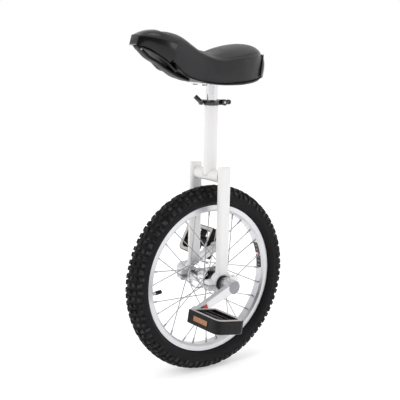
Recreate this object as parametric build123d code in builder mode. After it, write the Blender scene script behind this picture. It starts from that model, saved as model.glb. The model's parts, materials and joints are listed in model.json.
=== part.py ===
"""A sixteen-inch unicycle: fork frame, wheel with cranks and pedals, and a quick-release saddle.

Millimetres. +X is forward, +Y is the rider's left, +Z is up, and the origin is on the ground under the axle.
"""
import os
from math import cos, radians, sin
from build123d import *

# ---- wheel and ground
tyre_diameter = 403.0
tyre_width = 54.0
tread_width = 17.0
shoulder_drop = 16.0
casing_half_width = 24.6
casing_thickness = 2.6
tyre_height = 41.5
casing_drop = 3.0
casing_neck = 5.0
tread_depth = 3.6
quarter_turn = (0.71, 0.29)
shoulder_turn = (0.4, 0.61)
rim_width = 26.0
rim_wall = 2.0
rim_flange_height = 7.5
rim_well_depth = 4.5
rim_well_width = 13.0
rim_tape_thickness = 0.8
rim_tape_margin = 0.5
tube_wall = 1.2
spoke_count = 28
spoke_diameter = 2.0
spoke_crossings = 3
spoke_bend_radius = 1.1
spoke_lift = 3.5
nipple_diameter = 3.6
nipple_length = 11.0
nipple_stagger = 2.5
valve_diameter = 6.5
valve_reach = 22.0
valve_cap_diameter = 8.5
valve_cap_length = 14.0
valve_cap_overhang = 3.0
valve_flange = 0.5

# ---- hub, bearings and cranks
bearing_spacing = 99.0
bearing_diameter = 40.0
bearing_bore = 17.0
bearing_width = 12.0
race_groove = 0.45
bearing_ball_count = 9
race_wall = 3.2
shield_thickness = 0.8
hub_flange_spacing = 54.0
hub_flange_diameter = 63.0
hub_flange_thickness = 2.6
hub_hole_circle = 58.0
hub_barrel_diameter = 34.0
crank_length = 102.0
crank_angle = -22.2
crank_boss_diameter = 30.0
crank_face = 94.3
crank_thickness = 12.0
crank_boss_length = 30.0
crank_root_width = 21.0
crank_tip_width = 16.0
crank_eye_diameter = 23.0
axle_square = 12.7
crank_bolt_diameter = 8.0
crank_bolt_head = 14.0
crank_bolt_length = 26.0
crank_bolt_relief = 0.4
crank_bolt_seat = 0.5
crank_bolt_end_gap = 2.0
crank_edge_chamfer = 1.0
crank_cover_diameter = 27.4
crank_cover_thickness = 1.5

# ---- pedals
pedal_inner_face = 108.0
pedal_length = 97.0
pedal_depth = 71.4
pedal_thickness = 28.5
pedal_corner_depth = 14.0
pedal_corner_length = 13.0
pedal_wall = 6.0
pedal_rim = 10.0
pedal_barrel_diameter = 19.6
pedal_tread_thickness = 1.8
pedal_pitch = {"left": 9.0, "right": 117.0}
pedal_thread_diameter = 14.28
pedal_spindle_diameter = 10.0
pedal_shoulder_diameter = 17.0
pedal_ball_diameter = 3.18
pedal_ball_count = 9
pedal_nut_width = 13.0
pedal_nut_thickness = 4.0
pedal_nut_setback = 9.0
pedal_shoulder_setback = 5.0
pedal_thread_end = 5.0
pedal_pocket_depth = 12.0
pedal_ball_setback = 3.0
pedal_cup_clearance = 0.6
pedal_end_cap_thickness = 2.0
pedal_end_setback = 1.0
pedal_window_margin = 2.0
reflector_length = 44.0
reflector_height = 10.0
reflector_depth = 2.5
reflector_centre = 150.0

# ---- fork frame
leg_depth = 29.0
leg_thickness = 16.0
leg_wall = 1.6
leg_above_crown = 20.0
leg_foot_gap = 1.5
leg_cap_thickness = 1.6
crown_diameter = 25.4
crown_above_tyre = 22.5
crown_wall = 2.0
seat_tube_diameter = 28.6
seat_tube_wall = 1.5
seat_tube_length = 155.0
seat_tube_slot = 2.5
seat_tube_slot_length = 32.0
holder_wall = 4.5
holder_width = 16.0
cap_inset = 1.0
holder_split = 1.0
ear_margin = 10.0
ear_height = 9.5
cap_ear_height = 7.0
holder_bolt_offset = 9.0
holder_bolt_diameter = 6.0
holder_bolt_head = 10.0
holder_bolt_head_height = 4.0
holder_bolt_engagement = 8.0
washer_thickness = 1.2
washer_diameter = 12.0

# ---- seat clamp and post
collar_height = 11.0
collar_drop = 8.7
collar_wall = 2.4
ear_reach = 31.0
ear_thickness = 6.5
ear_gap = 3.0
ear_root = 1.0
skewer_diameter = 5.0
skewer_station = 24.5
clamp_nut_diameter = 13.0
clamp_nut_thickness = 7.0
eyelet_diameter = 10.4
eyelet_bore = 4.2
eyelet_reach = 41.0
eyelet_thickness = 6.0
eyelet_overlap = 2.0
lever_section = 5.0
lever_height = 9.0
lever_arc_radius = 24.5
lever_arc_start = 218.0
lever_arc_end = 356.0
lever_head_diameter = 12.0
lever_head_wall = 2.0
lever_neck = 5.0
lever_neck_gap = 1.5
lever_slot_turn = 167.5
lever_slot_reach = 30.0
lever_pin_diameter = 4.0
lever_pin_offset = 17.0
lever_tip_diameter = 9.5
lever_tip_length = 19.0
lever_tip_rise = 43.0
lever_tip_turn = -33.0
pin_overhang = 0.5
post_clearance = 0.1
post_wall = 2.0
post_insertion = 110.5
post_exposed = 36.0
plate_thickness = 4.0
plate_length = 84.0
plate_width = 50.0
plate_corner = 8.0
saddle_bolt_spacing_x = 62.0
saddle_bolt_spacing_y = 32.0
saddle_bolt_diameter = 6.0
saddle_bolt_head = 10.0
saddle_bolt_head_height = 3.5
saddle_bolt_reach = 7.0
saddle_nut_height = 5.0

# ---- saddle, in stations from the tail to the nose: place, half width, and the skirt, crease and crown above the plate
saddle_stations = [
    (-119.0, 29.0, 9.5, 47.5, 59.5),
    (-102.0, 55.0, 3.5, 56.5, 74.0),
    (-70.0, 76.0, -0.5, 57.5, 79.0),
    (-25.0, 74.0, -1.5, 53.0, 70.5),
    (15.0, 61.0, -1.0, 49.5, 59.5),
    (50.0, 48.0, 0.5, 54.5, 69.0),
    (90.0, 41.0, 10.5, 68.5, 91.5),
    (118.0, 37.5, 36.5, 81.5, 100.5),
]
nose_stations = [
    (118.0, 37.5, 36.5, 81.5, 100.5),
    (140.0, 35.5, 51.5, 86.5, 102.2),
    (165.0, 32.5, 65.5, 88.5, 101.5),
    (186.0, 28.0, 72.0, 85.5, 95.0),
    (196.0, 20.0, 73.5, 80.5, 86.5),
]
pan_floor = [5.0, 1.5, 0.4, 0.4, 0.4, 0.4, 6.0, 16.5]
pan_wall = 3.0
pan_overlap = 13.0
cover_thickness = 2.0
bumper_wall = 3.0
foam_front_margin = 6.0
handle_width = 30.0
handle_thickness = 5.0
handle_root_height = 19.5
handle_path = [(138.0, 26.5), (158.0, 40.0), (170.0, 44.0), (179.0, 50.5), (188.0, 66.5)]
handle_top = 79.5
handle_shoulder = 8.0
rear_bumper_width = 50.0
rear_bumper_low = 10.5
rear_bumper_high = 47.5
rear_bumper_thickness = 4.5
rear_bumper_corner = 8.0
rear_bumper_edge = 2.0

# ---- clearances
running = 0.05
seat_gap = 0.3
fit_gap = 0.1
loft_overrun = 5.0

# ---- derived places
axle_z = tyre_diameter / 2
bearing_ball_diameter = (bearing_diameter - bearing_bore) / 2 - 2 * (race_wall - race_groove)
holder_bolt_spacing = bearing_diameter + 2 * holder_bolt_offset
ear_span = holder_bolt_spacing + 2 * ear_margin
leg_foot_rise = bearing_diameter / 2 + leg_foot_gap
post_diameter = seat_tube_diameter - 2 * (seat_tube_wall + post_clearance)
tyre_radius = tyre_diameter / 2
rim_radius = tyre_radius - tyre_height
bead_radius = rim_radius - rim_flange_height
well_radius = bead_radius - rim_well_depth
bed_radius = well_radius - rim_wall
bearing_y = bearing_spacing / 2
flange_y = hub_flange_spacing / 2
hub_hole_radius = hub_hole_circle / 2
housing_radius = bearing_diameter / 2 + holder_wall
leg_foot = axle_z + leg_foot_rise
crown_height = tyre_diameter + crown_above_tyre
leg_top = crown_height + leg_above_crown
seat_tube_top = crown_height + seat_tube_length
collar_base = seat_tube_top - collar_drop
post_bottom = seat_tube_top - post_insertion
post_top = seat_tube_top + post_exposed
plate_top = post_top + plate_thickness
split_top = axle_z + holder_split / 2
split_bottom = axle_z - holder_split / 2
collar_bore = seat_tube_diameter / 2 + running
collar_radius = collar_bore + collar_wall
collar_middle = collar_base + collar_height / 2
sides = (("left", 1), ("right", -1))
wheel_section = Plane(origin=(0, 0, axle_z), x_dir=(0, 1, 0), z_dir=(1, 0, 0))
wheel_axis = Axis((0, 0, axle_z), (0, 1, 0))

os.makedirs("parts", exist_ok=True)


def save(piece, name):
    """Label one finished piece and write it as its own STEP file."""
    piece.label = name
    export_step(piece, f"parts/{name}.step")


def upright(y):
    """The vertical fore-and-aft plane at a lateral place, with its own y axis pointing up."""
    return Plane.XZ.offset(-y)


def crank_direction(side):
    """Unit vector from the axle along one crank; the two cranks stand opposite each other."""
    angle = radians(crank_angle + (0 if side > 0 else 180))
    return Vector(cos(angle), 0, sin(angle))


def turned(inner, outer, near, far, centre=(0.0, 0.0)):
    """A ring about a lateral axis through (x, height above the ground), between two lateral places."""
    with BuildPart() as ring:
        with BuildSketch(upright((near + far) / 2)):
            with Locations((centre[0], centre[1])):
                Circle(outer)
                if inner > 0:
                    Circle(inner, mode=Mode.SUBTRACT)
        extrude(amount=abs(far - near) / 2, both=True)
    return ring.part


def ball_ring(count, radius, diameter, centre):
    """Separate balls on a circle about a lateral axis."""
    with BuildPart() as balls:
        for turn in range(count):
            angle = radians(360 * turn / count)
            with Locations((centre[0] + radius * cos(angle), centre[1], centre[2] + radius * sin(angle))):
                Sphere(diameter / 2)
    return balls.part


def part_way(start, end, across, outward):
    """A point between two others, with its own share of the way across and outward."""
    return start[0] + (end[0] - start[0]) * across, start[1] + (end[1] - start[1]) * outward


def saddle_section(station, inset, bottom):
    """One closed cross-section of the saddle: flat bottom, upright sides and a domed top."""
    place, half_width, skirt, crease, crown = station
    side = half_width - inset
    low = skirt if bottom is None else bottom
    with BuildSketch(Plane(origin=(place, 0, plate_top), x_dir=(0, 1, 0), z_dir=(1, 0, 0))) as section:
        with BuildLine():
            Polyline((-side, crease - inset), (-side, low), (side, low), (side, crease - inset))
            ThreePointArc((side, crease - inset), (0, crown - inset), (-side, crease - inset))
        make_face()
    return section.sketch


def between(low_station, high_station, place):
    """The station at a place between two neighbouring ones."""
    share = (place - low_station[0]) / (high_station[0] - low_station[0])
    return tuple(a + (b - a) * share for a, b in zip(low_station, high_station))


def beyond(station, distance):
    """The same cross-section, moved along the saddle so that a cut runs out past the open end."""
    return (station[0] + distance,) + tuple(station[1:])


# ================= fork frame
with BuildPart() as crown_tube:
    with BuildSketch(upright(0)):
        with Locations((0, crown_height)):
            Circle(crown_diameter / 2)
            Circle(crown_diameter / 2 - crown_wall, mode=Mode.SUBTRACT)
    extrude(amount=bearing_y - leg_thickness / 2, both=True)
save(crown_tube.part, "crown_tube")

with BuildPart() as seat_tube:
    with BuildSketch(Plane.XY.offset(crown_height)):
        Circle(seat_tube_diameter / 2)
        Circle(seat_tube_diameter / 2 - seat_tube_wall, mode=Mode.SUBTRACT)
    extrude(amount=seat_tube_top - crown_height)
    with BuildSketch(upright(0)):
        with Locations((0, crown_height)):
            Circle(crown_diameter / 2 + running)
    extrude(amount=seat_tube_diameter, both=True, mode=Mode.SUBTRACT)
    with BuildSketch(Plane.XY.offset(seat_tube_top - seat_tube_slot_length)):
        with Locations((-seat_tube_diameter / 2, 0)):
            Rectangle(seat_tube_diameter / 2, seat_tube_slot)
    extrude(amount=seat_tube_slot_length, mode=Mode.SUBTRACT)
save(seat_tube.part, "seat_tube")

for side_name, side in sides:
    leg_y = side * bearing_y
    with BuildPart() as fork_leg:
        with BuildSketch(Plane.XY.offset(leg_foot)):
            with Locations((0, leg_y)):
                SlotOverall(leg_depth, leg_thickness)
                SlotOverall(leg_depth - 2 * leg_wall, leg_thickness - 2 * leg_wall, mode=Mode.SUBTRACT)
        extrude(amount=leg_top - leg_foot)
    save(fork_leg.part, f"fork_leg_{side_name}")

    with BuildPart() as bearing_housing:
        with BuildSketch(upright(leg_y)):
            with Locations((0, axle_z)):
                Circle(housing_radius)
            with Locations((0, split_top + ear_height / 2)):
                RectangleRounded(ear_span, ear_height, ear_height / 4)
            with Locations((0, (axle_z + leg_foot) / 2)):
                Rectangle(leg_depth, leg_foot - axle_z - fit_gap)
            with Locations((0, axle_z)):
                Circle(bearing_diameter / 2 + running, mode=Mode.SUBTRACT)
            with Locations((0, split_top - housing_radius), (0, leg_foot - fit_gap + housing_radius)):
                Rectangle(2 * ear_span, 2 * housing_radius, mode=Mode.SUBTRACT)
        extrude(amount=holder_width / 2, both=True)
        with BuildSketch(Plane.XY.offset(split_top)):
            with Locations((0, leg_y)):
                with GridLocations(holder_bolt_spacing, 1, 2, 1):
                    Circle(holder_bolt_diameter / 2 + running)
        extrude(amount=ear_height, mode=Mode.SUBTRACT)
    save(bearing_housing.part, f"bearing_housing_{side_name}")

    with BuildPart() as bearing_cap:
        with BuildSketch(upright(leg_y)):
            with Locations((0, axle_z)):
                Circle(housing_radius - cap_inset)
            with Locations((0, split_bottom - cap_ear_height / 2)):
                RectangleRounded(ear_span, cap_ear_height, cap_ear_height / 4)
            with Locations((0, axle_z)):
                Circle(bearing_diameter / 2 + running, mode=Mode.SUBTRACT)
            with Locations((0, split_bottom + housing_radius)):
                Rectangle(2 * ear_span, 2 * housing_radius, mode=Mode.SUBTRACT)
        extrude(amount=holder_width / 2, both=True)
        with BuildSketch(Plane.XY.offset(split_bottom)):
            with Locations((0, leg_y)):
                with GridLocations(holder_bolt_spacing, 1, 2, 1):
                    Circle(holder_bolt_diameter / 2 + running)
        extrude(amount=-cap_ear_height, mode=Mode.SUBTRACT)
    save(bearing_cap.part, f"bearing_cap_{side_name}")

with BuildPart() as leg_caps:
    with BuildSketch(Plane.XY.offset(leg_top)):
        with GridLocations(1, bearing_spacing, 1, 2):
            SlotOverall(leg_depth, leg_thickness)
    extrude(amount=leg_cap_thickness)
save(leg_caps.part, "leg_caps")

bolt_seat = split_bottom - cap_ear_height
with BuildPart() as holder_washers:
    with BuildSketch(Plane.XY.offset(bolt_seat)):
        with GridLocations(holder_bolt_spacing, bearing_spacing, 2, 2):
            Circle(washer_diameter / 2)
            Circle(holder_bolt_diameter / 2 + fit_gap, mode=Mode.SUBTRACT)
    extrude(amount=-washer_thickness)
save(holder_washers.part, "holder_washers")

with BuildPart() as holder_bolts:
    with BuildSketch(Plane.XY.offset(bolt_seat - washer_thickness)):
        with GridLocations(holder_bolt_spacing, bearing_spacing, 2, 2):
            RegularPolygon(holder_bolt_head / 2, 6, major_radius=False)
    extrude(amount=-holder_bolt_head_height)
    with BuildSketch(Plane.XY.offset(bolt_seat - washer_thickness)):
        with GridLocations(holder_bolt_spacing, bearing_spacing, 2, 2):
            Circle(holder_bolt_diameter / 2)
    extrude(amount=split_top + holder_bolt_engagement - bolt_seat + washer_thickness)
save(holder_bolts.part, "holder_bolts")

# ================= bearings
outer_race_bore = bearing_diameter / 2 - race_wall
inner_race_radius = bearing_bore / 2 + race_wall
race_middle = (outer_race_bore + inner_race_radius) / 2
ball_radius = bearing_ball_diameter / 2
groove_radius = ball_radius + running
wheel_centre = (0.0, axle_z)

with BuildPart() as bearing_outer_races:
    for side_name, side in sides:
        with BuildSketch(wheel_section):
            with Locations((side * bearing_y, (outer_race_bore + bearing_diameter / 2) / 2)):
                Rectangle(bearing_width, race_wall)
            with Locations((side * bearing_y, race_middle)):
                Circle(groove_radius, mode=Mode.SUBTRACT)
        revolve(axis=wheel_axis)
save(bearing_outer_races.part, "bearing_outer_races")

with BuildPart() as bearing_inner_races:
    for side_name, side in sides:
        with BuildSketch(wheel_section):
            with Locations((side * bearing_y, (bearing_bore / 2 + inner_race_radius) / 2)):
                Rectangle(bearing_width, race_wall)
            with Locations((side * bearing_y, race_middle)):
                Circle(groove_radius, mode=Mode.SUBTRACT)
        revolve(axis=wheel_axis)
save(bearing_inner_races.part, "bearing_inner_races")

with BuildPart() as bearing_balls:
    for side_name, side in sides:
        add(ball_ring(bearing_ball_count, race_middle, bearing_ball_diameter, (0, side * bearing_y, axle_z)))
save(bearing_balls.part, "bearing_balls")

with BuildPart() as bearing_shields:
    for side_name, side in sides:
        for face in (-1, 1):
            place = side * bearing_y + face * (bearing_width / 2 - shield_thickness / 2)
            add(turned(inner_race_radius + seat_gap, outer_race_bore - running,
                       place - shield_thickness / 2, place + shield_thickness / 2, wheel_centre))
save(bearing_shields.part, "bearing_shields")

# ================= hub
axle_shoulder = bearing_y + bearing_width / 2
bolt_seat_y = crank_face - crank_cover_thickness - seat_gap - crank_bolt_head / 2
square_end = bolt_seat_y - seat_gap
with BuildPart() as hub_axle:
    with BuildSketch(upright(0)):
        with Locations(wheel_centre):
            Circle(bearing_bore / 2 - running)
    extrude(amount=axle_shoulder + running, both=True)
    with BuildSketch(upright(0)):
        with Locations(wheel_centre):
            Rectangle(axle_square, axle_square, rotation=crank_angle)
            Circle(bearing_bore / 2 - running, mode=Mode.INTERSECT)
    extrude(amount=square_end, both=True)
    with BuildSketch(upright(square_end), upright(-square_end)):
        with Locations(wheel_centre):
            Circle(crank_bolt_diameter / 2 + running)
    extrude(amount=crank_bolt_length, both=True, mode=Mode.SUBTRACT)
save(hub_axle.part, "hub_axle")

flange_outer = flange_y + hub_flange_thickness / 2
flange_inner = flange_y - hub_flange_thickness / 2
hole_step = 360 / spoke_count
lacing = spoke_crossings * 2 * hole_step
with BuildPart() as hub_shell:
    with BuildSketch(upright(0)):
        with Locations(wheel_centre):
            Circle(hub_barrel_diameter / 2)
    extrude(amount=flange_inner, both=True)
    with BuildSketch(upright(flange_y), upright(-flange_y)):
        with Locations(wheel_centre):
            Circle(hub_flange_diameter / 2)
    extrude(amount=hub_flange_thickness / 2, both=True)
    with BuildSketch(upright(0)):
        with Locations(wheel_centre):
            Circle(bearing_bore / 2 + running)
    extrude(amount=flange_outer, both=True, mode=Mode.SUBTRACT)
    for side_name, side in sides:
        first_hole = hole_step + lacing if side > 0 else lacing
        with BuildSketch(upright(side * flange_y)):
            with Locations(wheel_centre):
                with PolarLocations(hub_hole_radius, spoke_count // 2, start_angle=first_hole):
                    Circle(spoke_diameter / 2 + fit_gap)
        extrude(amount=hub_flange_thickness, both=True, mode=Mode.SUBTRACT)
save(hub_shell.part, "hub_shell")

with BuildPart() as bearing_spacers:
    for side_name, side in sides:
        add(turned(bearing_bore / 2 + running, inner_race_radius,
                   side * flange_outer, side * (bearing_y - bearing_width / 2), wheel_centre))
save(bearing_spacers.part, "bearing_spacers")


# ================= spokes and rim
def spoke_run(turn):
    """Head, elbow and rim points of the spoke in one rim hole: sides alternate, then leans alternate."""
    side = 1 if turn % 2 else -1
    lean = 1 if turn % 4 < 2 else -1
    lift = spoke_lift if lean > 0 else -spoke_bend_radius - fit_gap
    rim_angle = radians(turn * hole_step)
    hub_angle = rim_angle + radians(lean * lacing)
    face = lean * hub_flange_thickness / 2
    hub_x = hub_hole_radius * cos(hub_angle)
    hub_z = axle_z + hub_hole_radius * sin(hub_angle)
    head = Vector(hub_x, side * (flange_y - face - lean * fit_gap), hub_z)
    elbow = Vector(hub_x, side * (flange_y + face + lift), hub_z)
    rim_point = Vector(bed_radius * cos(rim_angle), side * nipple_stagger, axle_z + bed_radius * sin(rim_angle))
    return head, elbow, rim_point


def laced_spoke(turn):
    """One spoke: a head behind its flange, a bend, and a straight run into its nipple."""
    head, elbow, rim_point = spoke_run(turn)
    run = (rim_point - elbow).normalized()
    with BuildPart() as spoke:
        with BuildLine() as path:
            FilletPolyline(head, elbow, rim_point - run * (nipple_length / 2), radius=spoke_bend_radius)
        start = Plane(origin=head, z_dir=elbow - head)
        with BuildSketch(start):
            Circle(spoke_diameter / 2)
        sweep()
        with BuildSketch(start):
            Circle(spoke_diameter)
        extrude(amount=-spoke_diameter / 2)
    return spoke.part


for side_name, side in sides:
    with BuildPart() as spokes:
        for turn in range(spoke_count):
            if (turn % 2 == 1) == (side > 0):
                add(laced_spoke(turn))
    save(spokes.part, f"spokes_{side_name}")

with BuildPart() as nipples:
    for turn in range(spoke_count):
        head, elbow, rim_point = spoke_run(turn)
        run = (rim_point - elbow).normalized()
        with BuildSketch(Plane(origin=rim_point - run * (nipple_length - rim_wall / 2), z_dir=run)):
            Circle(nipple_diameter / 2)
            Circle(spoke_diameter / 2 + running, mode=Mode.SUBTRACT)
        extrude(amount=nipple_length)
save(nipples.part, "spoke_nipples")

valve_angle = -hole_step / 2
valve_out = Vector(cos(radians(valve_angle)), 0, sin(radians(valve_angle)))
rim_half = rim_width / 2
well_half = rim_well_width / 2
with BuildPart() as rim:
    with BuildSketch(wheel_section):
        with BuildLine():
            Polyline(
                (-rim_half, rim_radius), (-rim_half, bead_radius - rim_wall), (-well_half - rim_wall, bed_radius),
                (well_half + rim_wall, bed_radius), (rim_half, bead_radius - rim_wall), (rim_half, rim_radius),
                (rim_half - rim_wall, rim_radius), (rim_half - rim_wall, bead_radius),
                (well_half + rim_wall, bead_radius), (well_half, well_radius), (-well_half, well_radius),
                (-well_half - rim_wall, bead_radius), (rim_wall - rim_half, bead_radius),
                (rim_wall - rim_half, rim_radius), close=True)
        make_face()
    revolve(axis=wheel_axis)
    for turn in range(spoke_count):
        head, elbow, rim_point = spoke_run(turn)
        with BuildSketch(Plane(origin=rim_point, z_dir=rim_point - elbow)):
            Circle(nipple_diameter / 2 + running)
        extrude(amount=2 * rim_wall, both=True, mode=Mode.SUBTRACT)
    with BuildSketch(Plane(origin=Vector(0, 0, axle_z) + valve_out * bed_radius, z_dir=valve_out)):
        Circle(valve_diameter / 2 + fit_gap)
    extrude(amount=2 * rim_wall, both=True, mode=Mode.SUBTRACT)
save(rim.part, "rim")

with BuildPart() as rim_tape:
    with BuildSketch(wheel_section):
        with Locations((0, well_radius + fit_gap + rim_tape_thickness / 2)):
            Rectangle(rim_well_width - 2 * rim_tape_margin, rim_tape_thickness)
    revolve(axis=wheel_axis)
    with BuildSketch(Plane(origin=Vector(0, 0, axle_z) + valve_out * well_radius, z_dir=valve_out)):
        Circle(valve_diameter / 2 + fit_gap)
    extrude(amount=rim_well_width, mode=Mode.SUBTRACT)
save(rim_tape.part, "rim_tape")

# ================= tyre, inner tube and valve
bead_half = rim_half - rim_wall - fit_gap
neck_half = well_half + seat_gap
bead_foot = bead_radius + fit_gap
flange_clear = rim_radius + seat_gap
casing_centre = (flange_clear + tyre_radius) / 2 - casing_drop
shoulder_radius = tyre_radius - shoulder_drop
crown_inside = tyre_radius - casing_thickness - tread_depth
side_inside = casing_half_width - casing_thickness
bead_top = (bead_half, flange_clear)
wall_out = (casing_half_width, casing_centre)
shoulder = (tyre_width / 2, shoulder_radius)
tread_edge = (tread_width / 2, tyre_radius)
crown_in = (0, crown_inside)
wall_in = (side_inside, casing_centre)
neck_in = (neck_half, flange_clear)
far, near = quarter_turn
with BuildPart() as tyre:
    with BuildSketch(wheel_section):
        with BuildLine():
            Line((bead_half, bead_foot), bead_top)
            ThreePointArc(bead_top, part_way(bead_top, wall_out, far, near), wall_out)
            Polyline(wall_out, (casing_half_width, shoulder_radius - casing_neck), shoulder)
            ThreePointArc(shoulder, part_way(shoulder, tread_edge, *shoulder_turn), tread_edge)
            Line(tread_edge, (0, tyre_radius))
            Line((0, tyre_radius), crown_in)
            ThreePointArc(crown_in, part_way(crown_in, wall_in, far, near), wall_in)
            ThreePointArc(wall_in, part_way(wall_in, neck_in, near, far), neck_in)
            Line(neck_in, (neck_half, bead_foot))
            Line((neck_half, bead_foot), (bead_half, bead_foot))
        make_face()
        mirror(about=Plane.YZ)
    revolve(axis=wheel_axis)
save(tyre.part, "tyre")

tube_foot = well_radius + fit_gap + rim_tape_thickness + fit_gap
tube_neck = (neck_half - seat_gap, flange_clear)
tube_side = (side_inside - seat_gap, casing_centre)
tube_crown = (0, crown_inside - seat_gap)
with BuildPart() as inner_tube:
    with BuildSketch(wheel_section):
        with BuildLine():
            Polyline((0, tube_foot), (neck_half - seat_gap, tube_foot), tube_neck)
            ThreePointArc(tube_neck, part_way(tube_neck, tube_side, far, near), tube_side)
            ThreePointArc(tube_side, part_way(tube_side, tube_crown, near, far), tube_crown)
            Line(tube_crown, (0, tube_foot))
        make_face()
        mirror(about=Plane.YZ)
        offset(amount=-tube_wall, mode=Mode.SUBTRACT)
    revolve(axis=wheel_axis)
save(inner_tube.part, "inner_tube")

valve_foot = Vector(0, 0, axle_z) + valve_out * (bed_radius - valve_reach)
with BuildPart() as valve_stem:
    with BuildSketch(Plane(origin=valve_foot, z_dir=valve_out)):
        Circle(valve_diameter / 2)
    extrude(amount=valve_reach + rim_wall + valve_flange)
save(valve_stem.part, "valve_stem")

with BuildPart() as valve_cap:
    with BuildSketch(Plane(origin=valve_foot - valve_out * valve_cap_overhang, z_dir=valve_out)):
        Circle(valve_cap_diameter / 2)
    extrude(amount=valve_cap_length)
    with BuildSketch(Plane(origin=valve_foot, z_dir=valve_out)):
        Circle(valve_diameter / 2 + running)
    extrude(amount=valve_cap_length, mode=Mode.SUBTRACT)
save(valve_cap.part, "valve_cap")

# ================= cranks
pocket_floor = crank_face - crank_cover_thickness - crank_bolt_head / 2 - seat_gap
crank_covers = []
crank_bolts = []
pedal_nuts = []
for side_name, side in sides:
    along = crank_direction(side)
    face_plane = Plane(origin=(0, side * crank_face, axle_z), x_dir=along, z_dir=(0, -side, 0))
    with BuildPart() as crank:
        with BuildSketch(face_plane):
            Circle(crank_boss_diameter / 2)
        extrude(amount=crank_boss_length)
        with BuildSketch(face_plane):
            with BuildLine():
                Polyline((0, -crank_root_width / 2), (crank_length, -crank_tip_width / 2),
                         (crank_length, crank_tip_width / 2), (0, crank_root_width / 2), close=True)
            make_face()
            with Locations((crank_length, 0)):
                Circle(crank_eye_diameter / 2)
        extrude(amount=crank_thickness)
        chamfer(crank.edges().group_by(Axis.Y)[-1 if side > 0 else 0], length=crank_edge_chamfer)
        with BuildSketch(face_plane):
            Circle(crank_cover_diameter / 2 + running)
        extrude(amount=crank_cover_thickness + seat_gap, mode=Mode.SUBTRACT)
        with BuildSketch(face_plane):
            Circle(crank_bolt_head / 2 + seat_gap)
        extrude(amount=crank_face - pocket_floor, mode=Mode.SUBTRACT)
        with BuildSketch(face_plane):
            Rectangle(axle_square + 2 * running, axle_square + 2 * running)
        extrude(amount=crank_boss_length, mode=Mode.SUBTRACT)
        with BuildSketch(face_plane):
            with Locations((crank_length, 0)):
                Circle(pedal_thread_diameter / 2 + running)
        extrude(amount=crank_thickness, mode=Mode.SUBTRACT)
    save(crank.part, f"crank_{side_name}")

    crank_covers.append(turned(0, crank_cover_diameter / 2, side * (crank_face - crank_cover_thickness),
                               side * crank_face, wheel_centre))
    with BuildPart() as crank_bolt:
        with BuildSketch(face_plane.offset(crank_face - pocket_floor)):
            RegularPolygon(crank_bolt_head / 2 - crank_bolt_relief, 6)
        extrude(amount=-crank_bolt_head / 2 + crank_bolt_seat)
        with BuildSketch(face_plane.offset(crank_face - pocket_floor)):
            Circle(crank_bolt_diameter / 2)
        extrude(amount=crank_bolt_length - crank_bolt_end_gap)
    crank_bolts.append(crank_bolt.part)

    # ---- pedal
    eye = Vector(0, 0, axle_z) + along * crank_length
    centre = (eye.X, eye.Z)
    pitch = radians(pedal_pitch[side_name])
    fore = Vector(cos(pitch), 0, sin(pitch))
    outward = Vector(0, side, 0)
    flat = Plane(origin=eye, x_dir=fore, z_dir=fore.cross(outward))
    pedal_outer_face = pedal_inner_face + pedal_length
    nut_place = pedal_outer_face - pedal_nut_setback
    shoulder_end = pedal_inner_face - pedal_shoulder_setback
    with BuildPart() as pedal_spindle:
        add(turned(0, pedal_thread_diameter / 2, side * (crank_face - crank_thickness), side * crank_face, centre))
        add(turned(0, pedal_shoulder_diameter / 2, side * (crank_face + running), side * shoulder_end, centre))
        add(turned(0, pedal_spindle_diameter / 2, side * (crank_face - running), side * (nut_place + pedal_thread_end),
                   centre))
    save(pedal_spindle.part, f"pedal_spindle_{side_name}")
    pedal_nuts.append(turned(pedal_spindle_diameter / 2 + running, pedal_nut_width / 2,
                             side * nut_place, side * (nut_place + pedal_nut_thickness), centre))

    cup_radius = pedal_spindle_diameter / 2 + pedal_ball_diameter + 2 * running
    half_depth = pedal_depth / 2
    outline = [
        (-half_depth, pedal_inner_face), (half_depth, pedal_inner_face),
        (half_depth, pedal_outer_face - pedal_corner_length), (half_depth - pedal_corner_depth, pedal_outer_face),
        (pedal_corner_depth - half_depth, pedal_outer_face), (-half_depth, pedal_outer_face - pedal_corner_length),
    ]
    core_half = pedal_thickness / 2 - pedal_tread_thickness
    window_inner = pedal_inner_face + pedal_wall
    window_outer = pedal_outer_face - pedal_rim - pedal_window_margin
    window_low = pedal_barrel_diameter / 2 + pedal_end_setback
    bearing_pocket = cup_radius + pedal_cup_clearance
    window_high = half_depth - pedal_rim
    with BuildPart() as pedal_body:
        with BuildSketch(flat):
            with BuildLine():
                Polyline(*outline, close=True)
            make_face()
            with Locations(*[(end * (window_low + window_high) / 2, (window_inner + window_outer) / 2)
                             for end in (-1, 1)]):
                Rectangle(window_high - window_low, window_outer - window_inner, mode=Mode.SUBTRACT)
        extrude(amount=core_half, both=True)
        add(turned(0, pedal_barrel_diameter / 2, side * pedal_inner_face,
                   side * (pedal_outer_face - pedal_end_setback), centre))
        for end in (-1, 1):
            with BuildSketch(Plane(origin=eye + fore * (end * half_depth) + outward * reflector_centre,
                                   x_dir=outward, z_dir=fore * end)):
                Rectangle(reflector_length + 2 * fit_gap, reflector_height + 2 * fit_gap)
            extrude(amount=-reflector_depth, mode=Mode.SUBTRACT)
        for bore, bore_start, bore_end in (
                (pedal_spindle_diameter / 2 + pedal_end_setback, shoulder_end, pedal_outer_face + pedal_end_setback),
                (bearing_pocket, shoulder_end, pedal_inner_face + pedal_pocket_depth),
                (bearing_pocket, nut_place - pedal_pocket_depth, pedal_outer_face + pedal_end_setback)):
            add(turned(0, bore, side * bore_start, side * bore_end, centre), mode=Mode.SUBTRACT)
    save(pedal_body.part, f"pedal_body_{side_name}")

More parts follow.
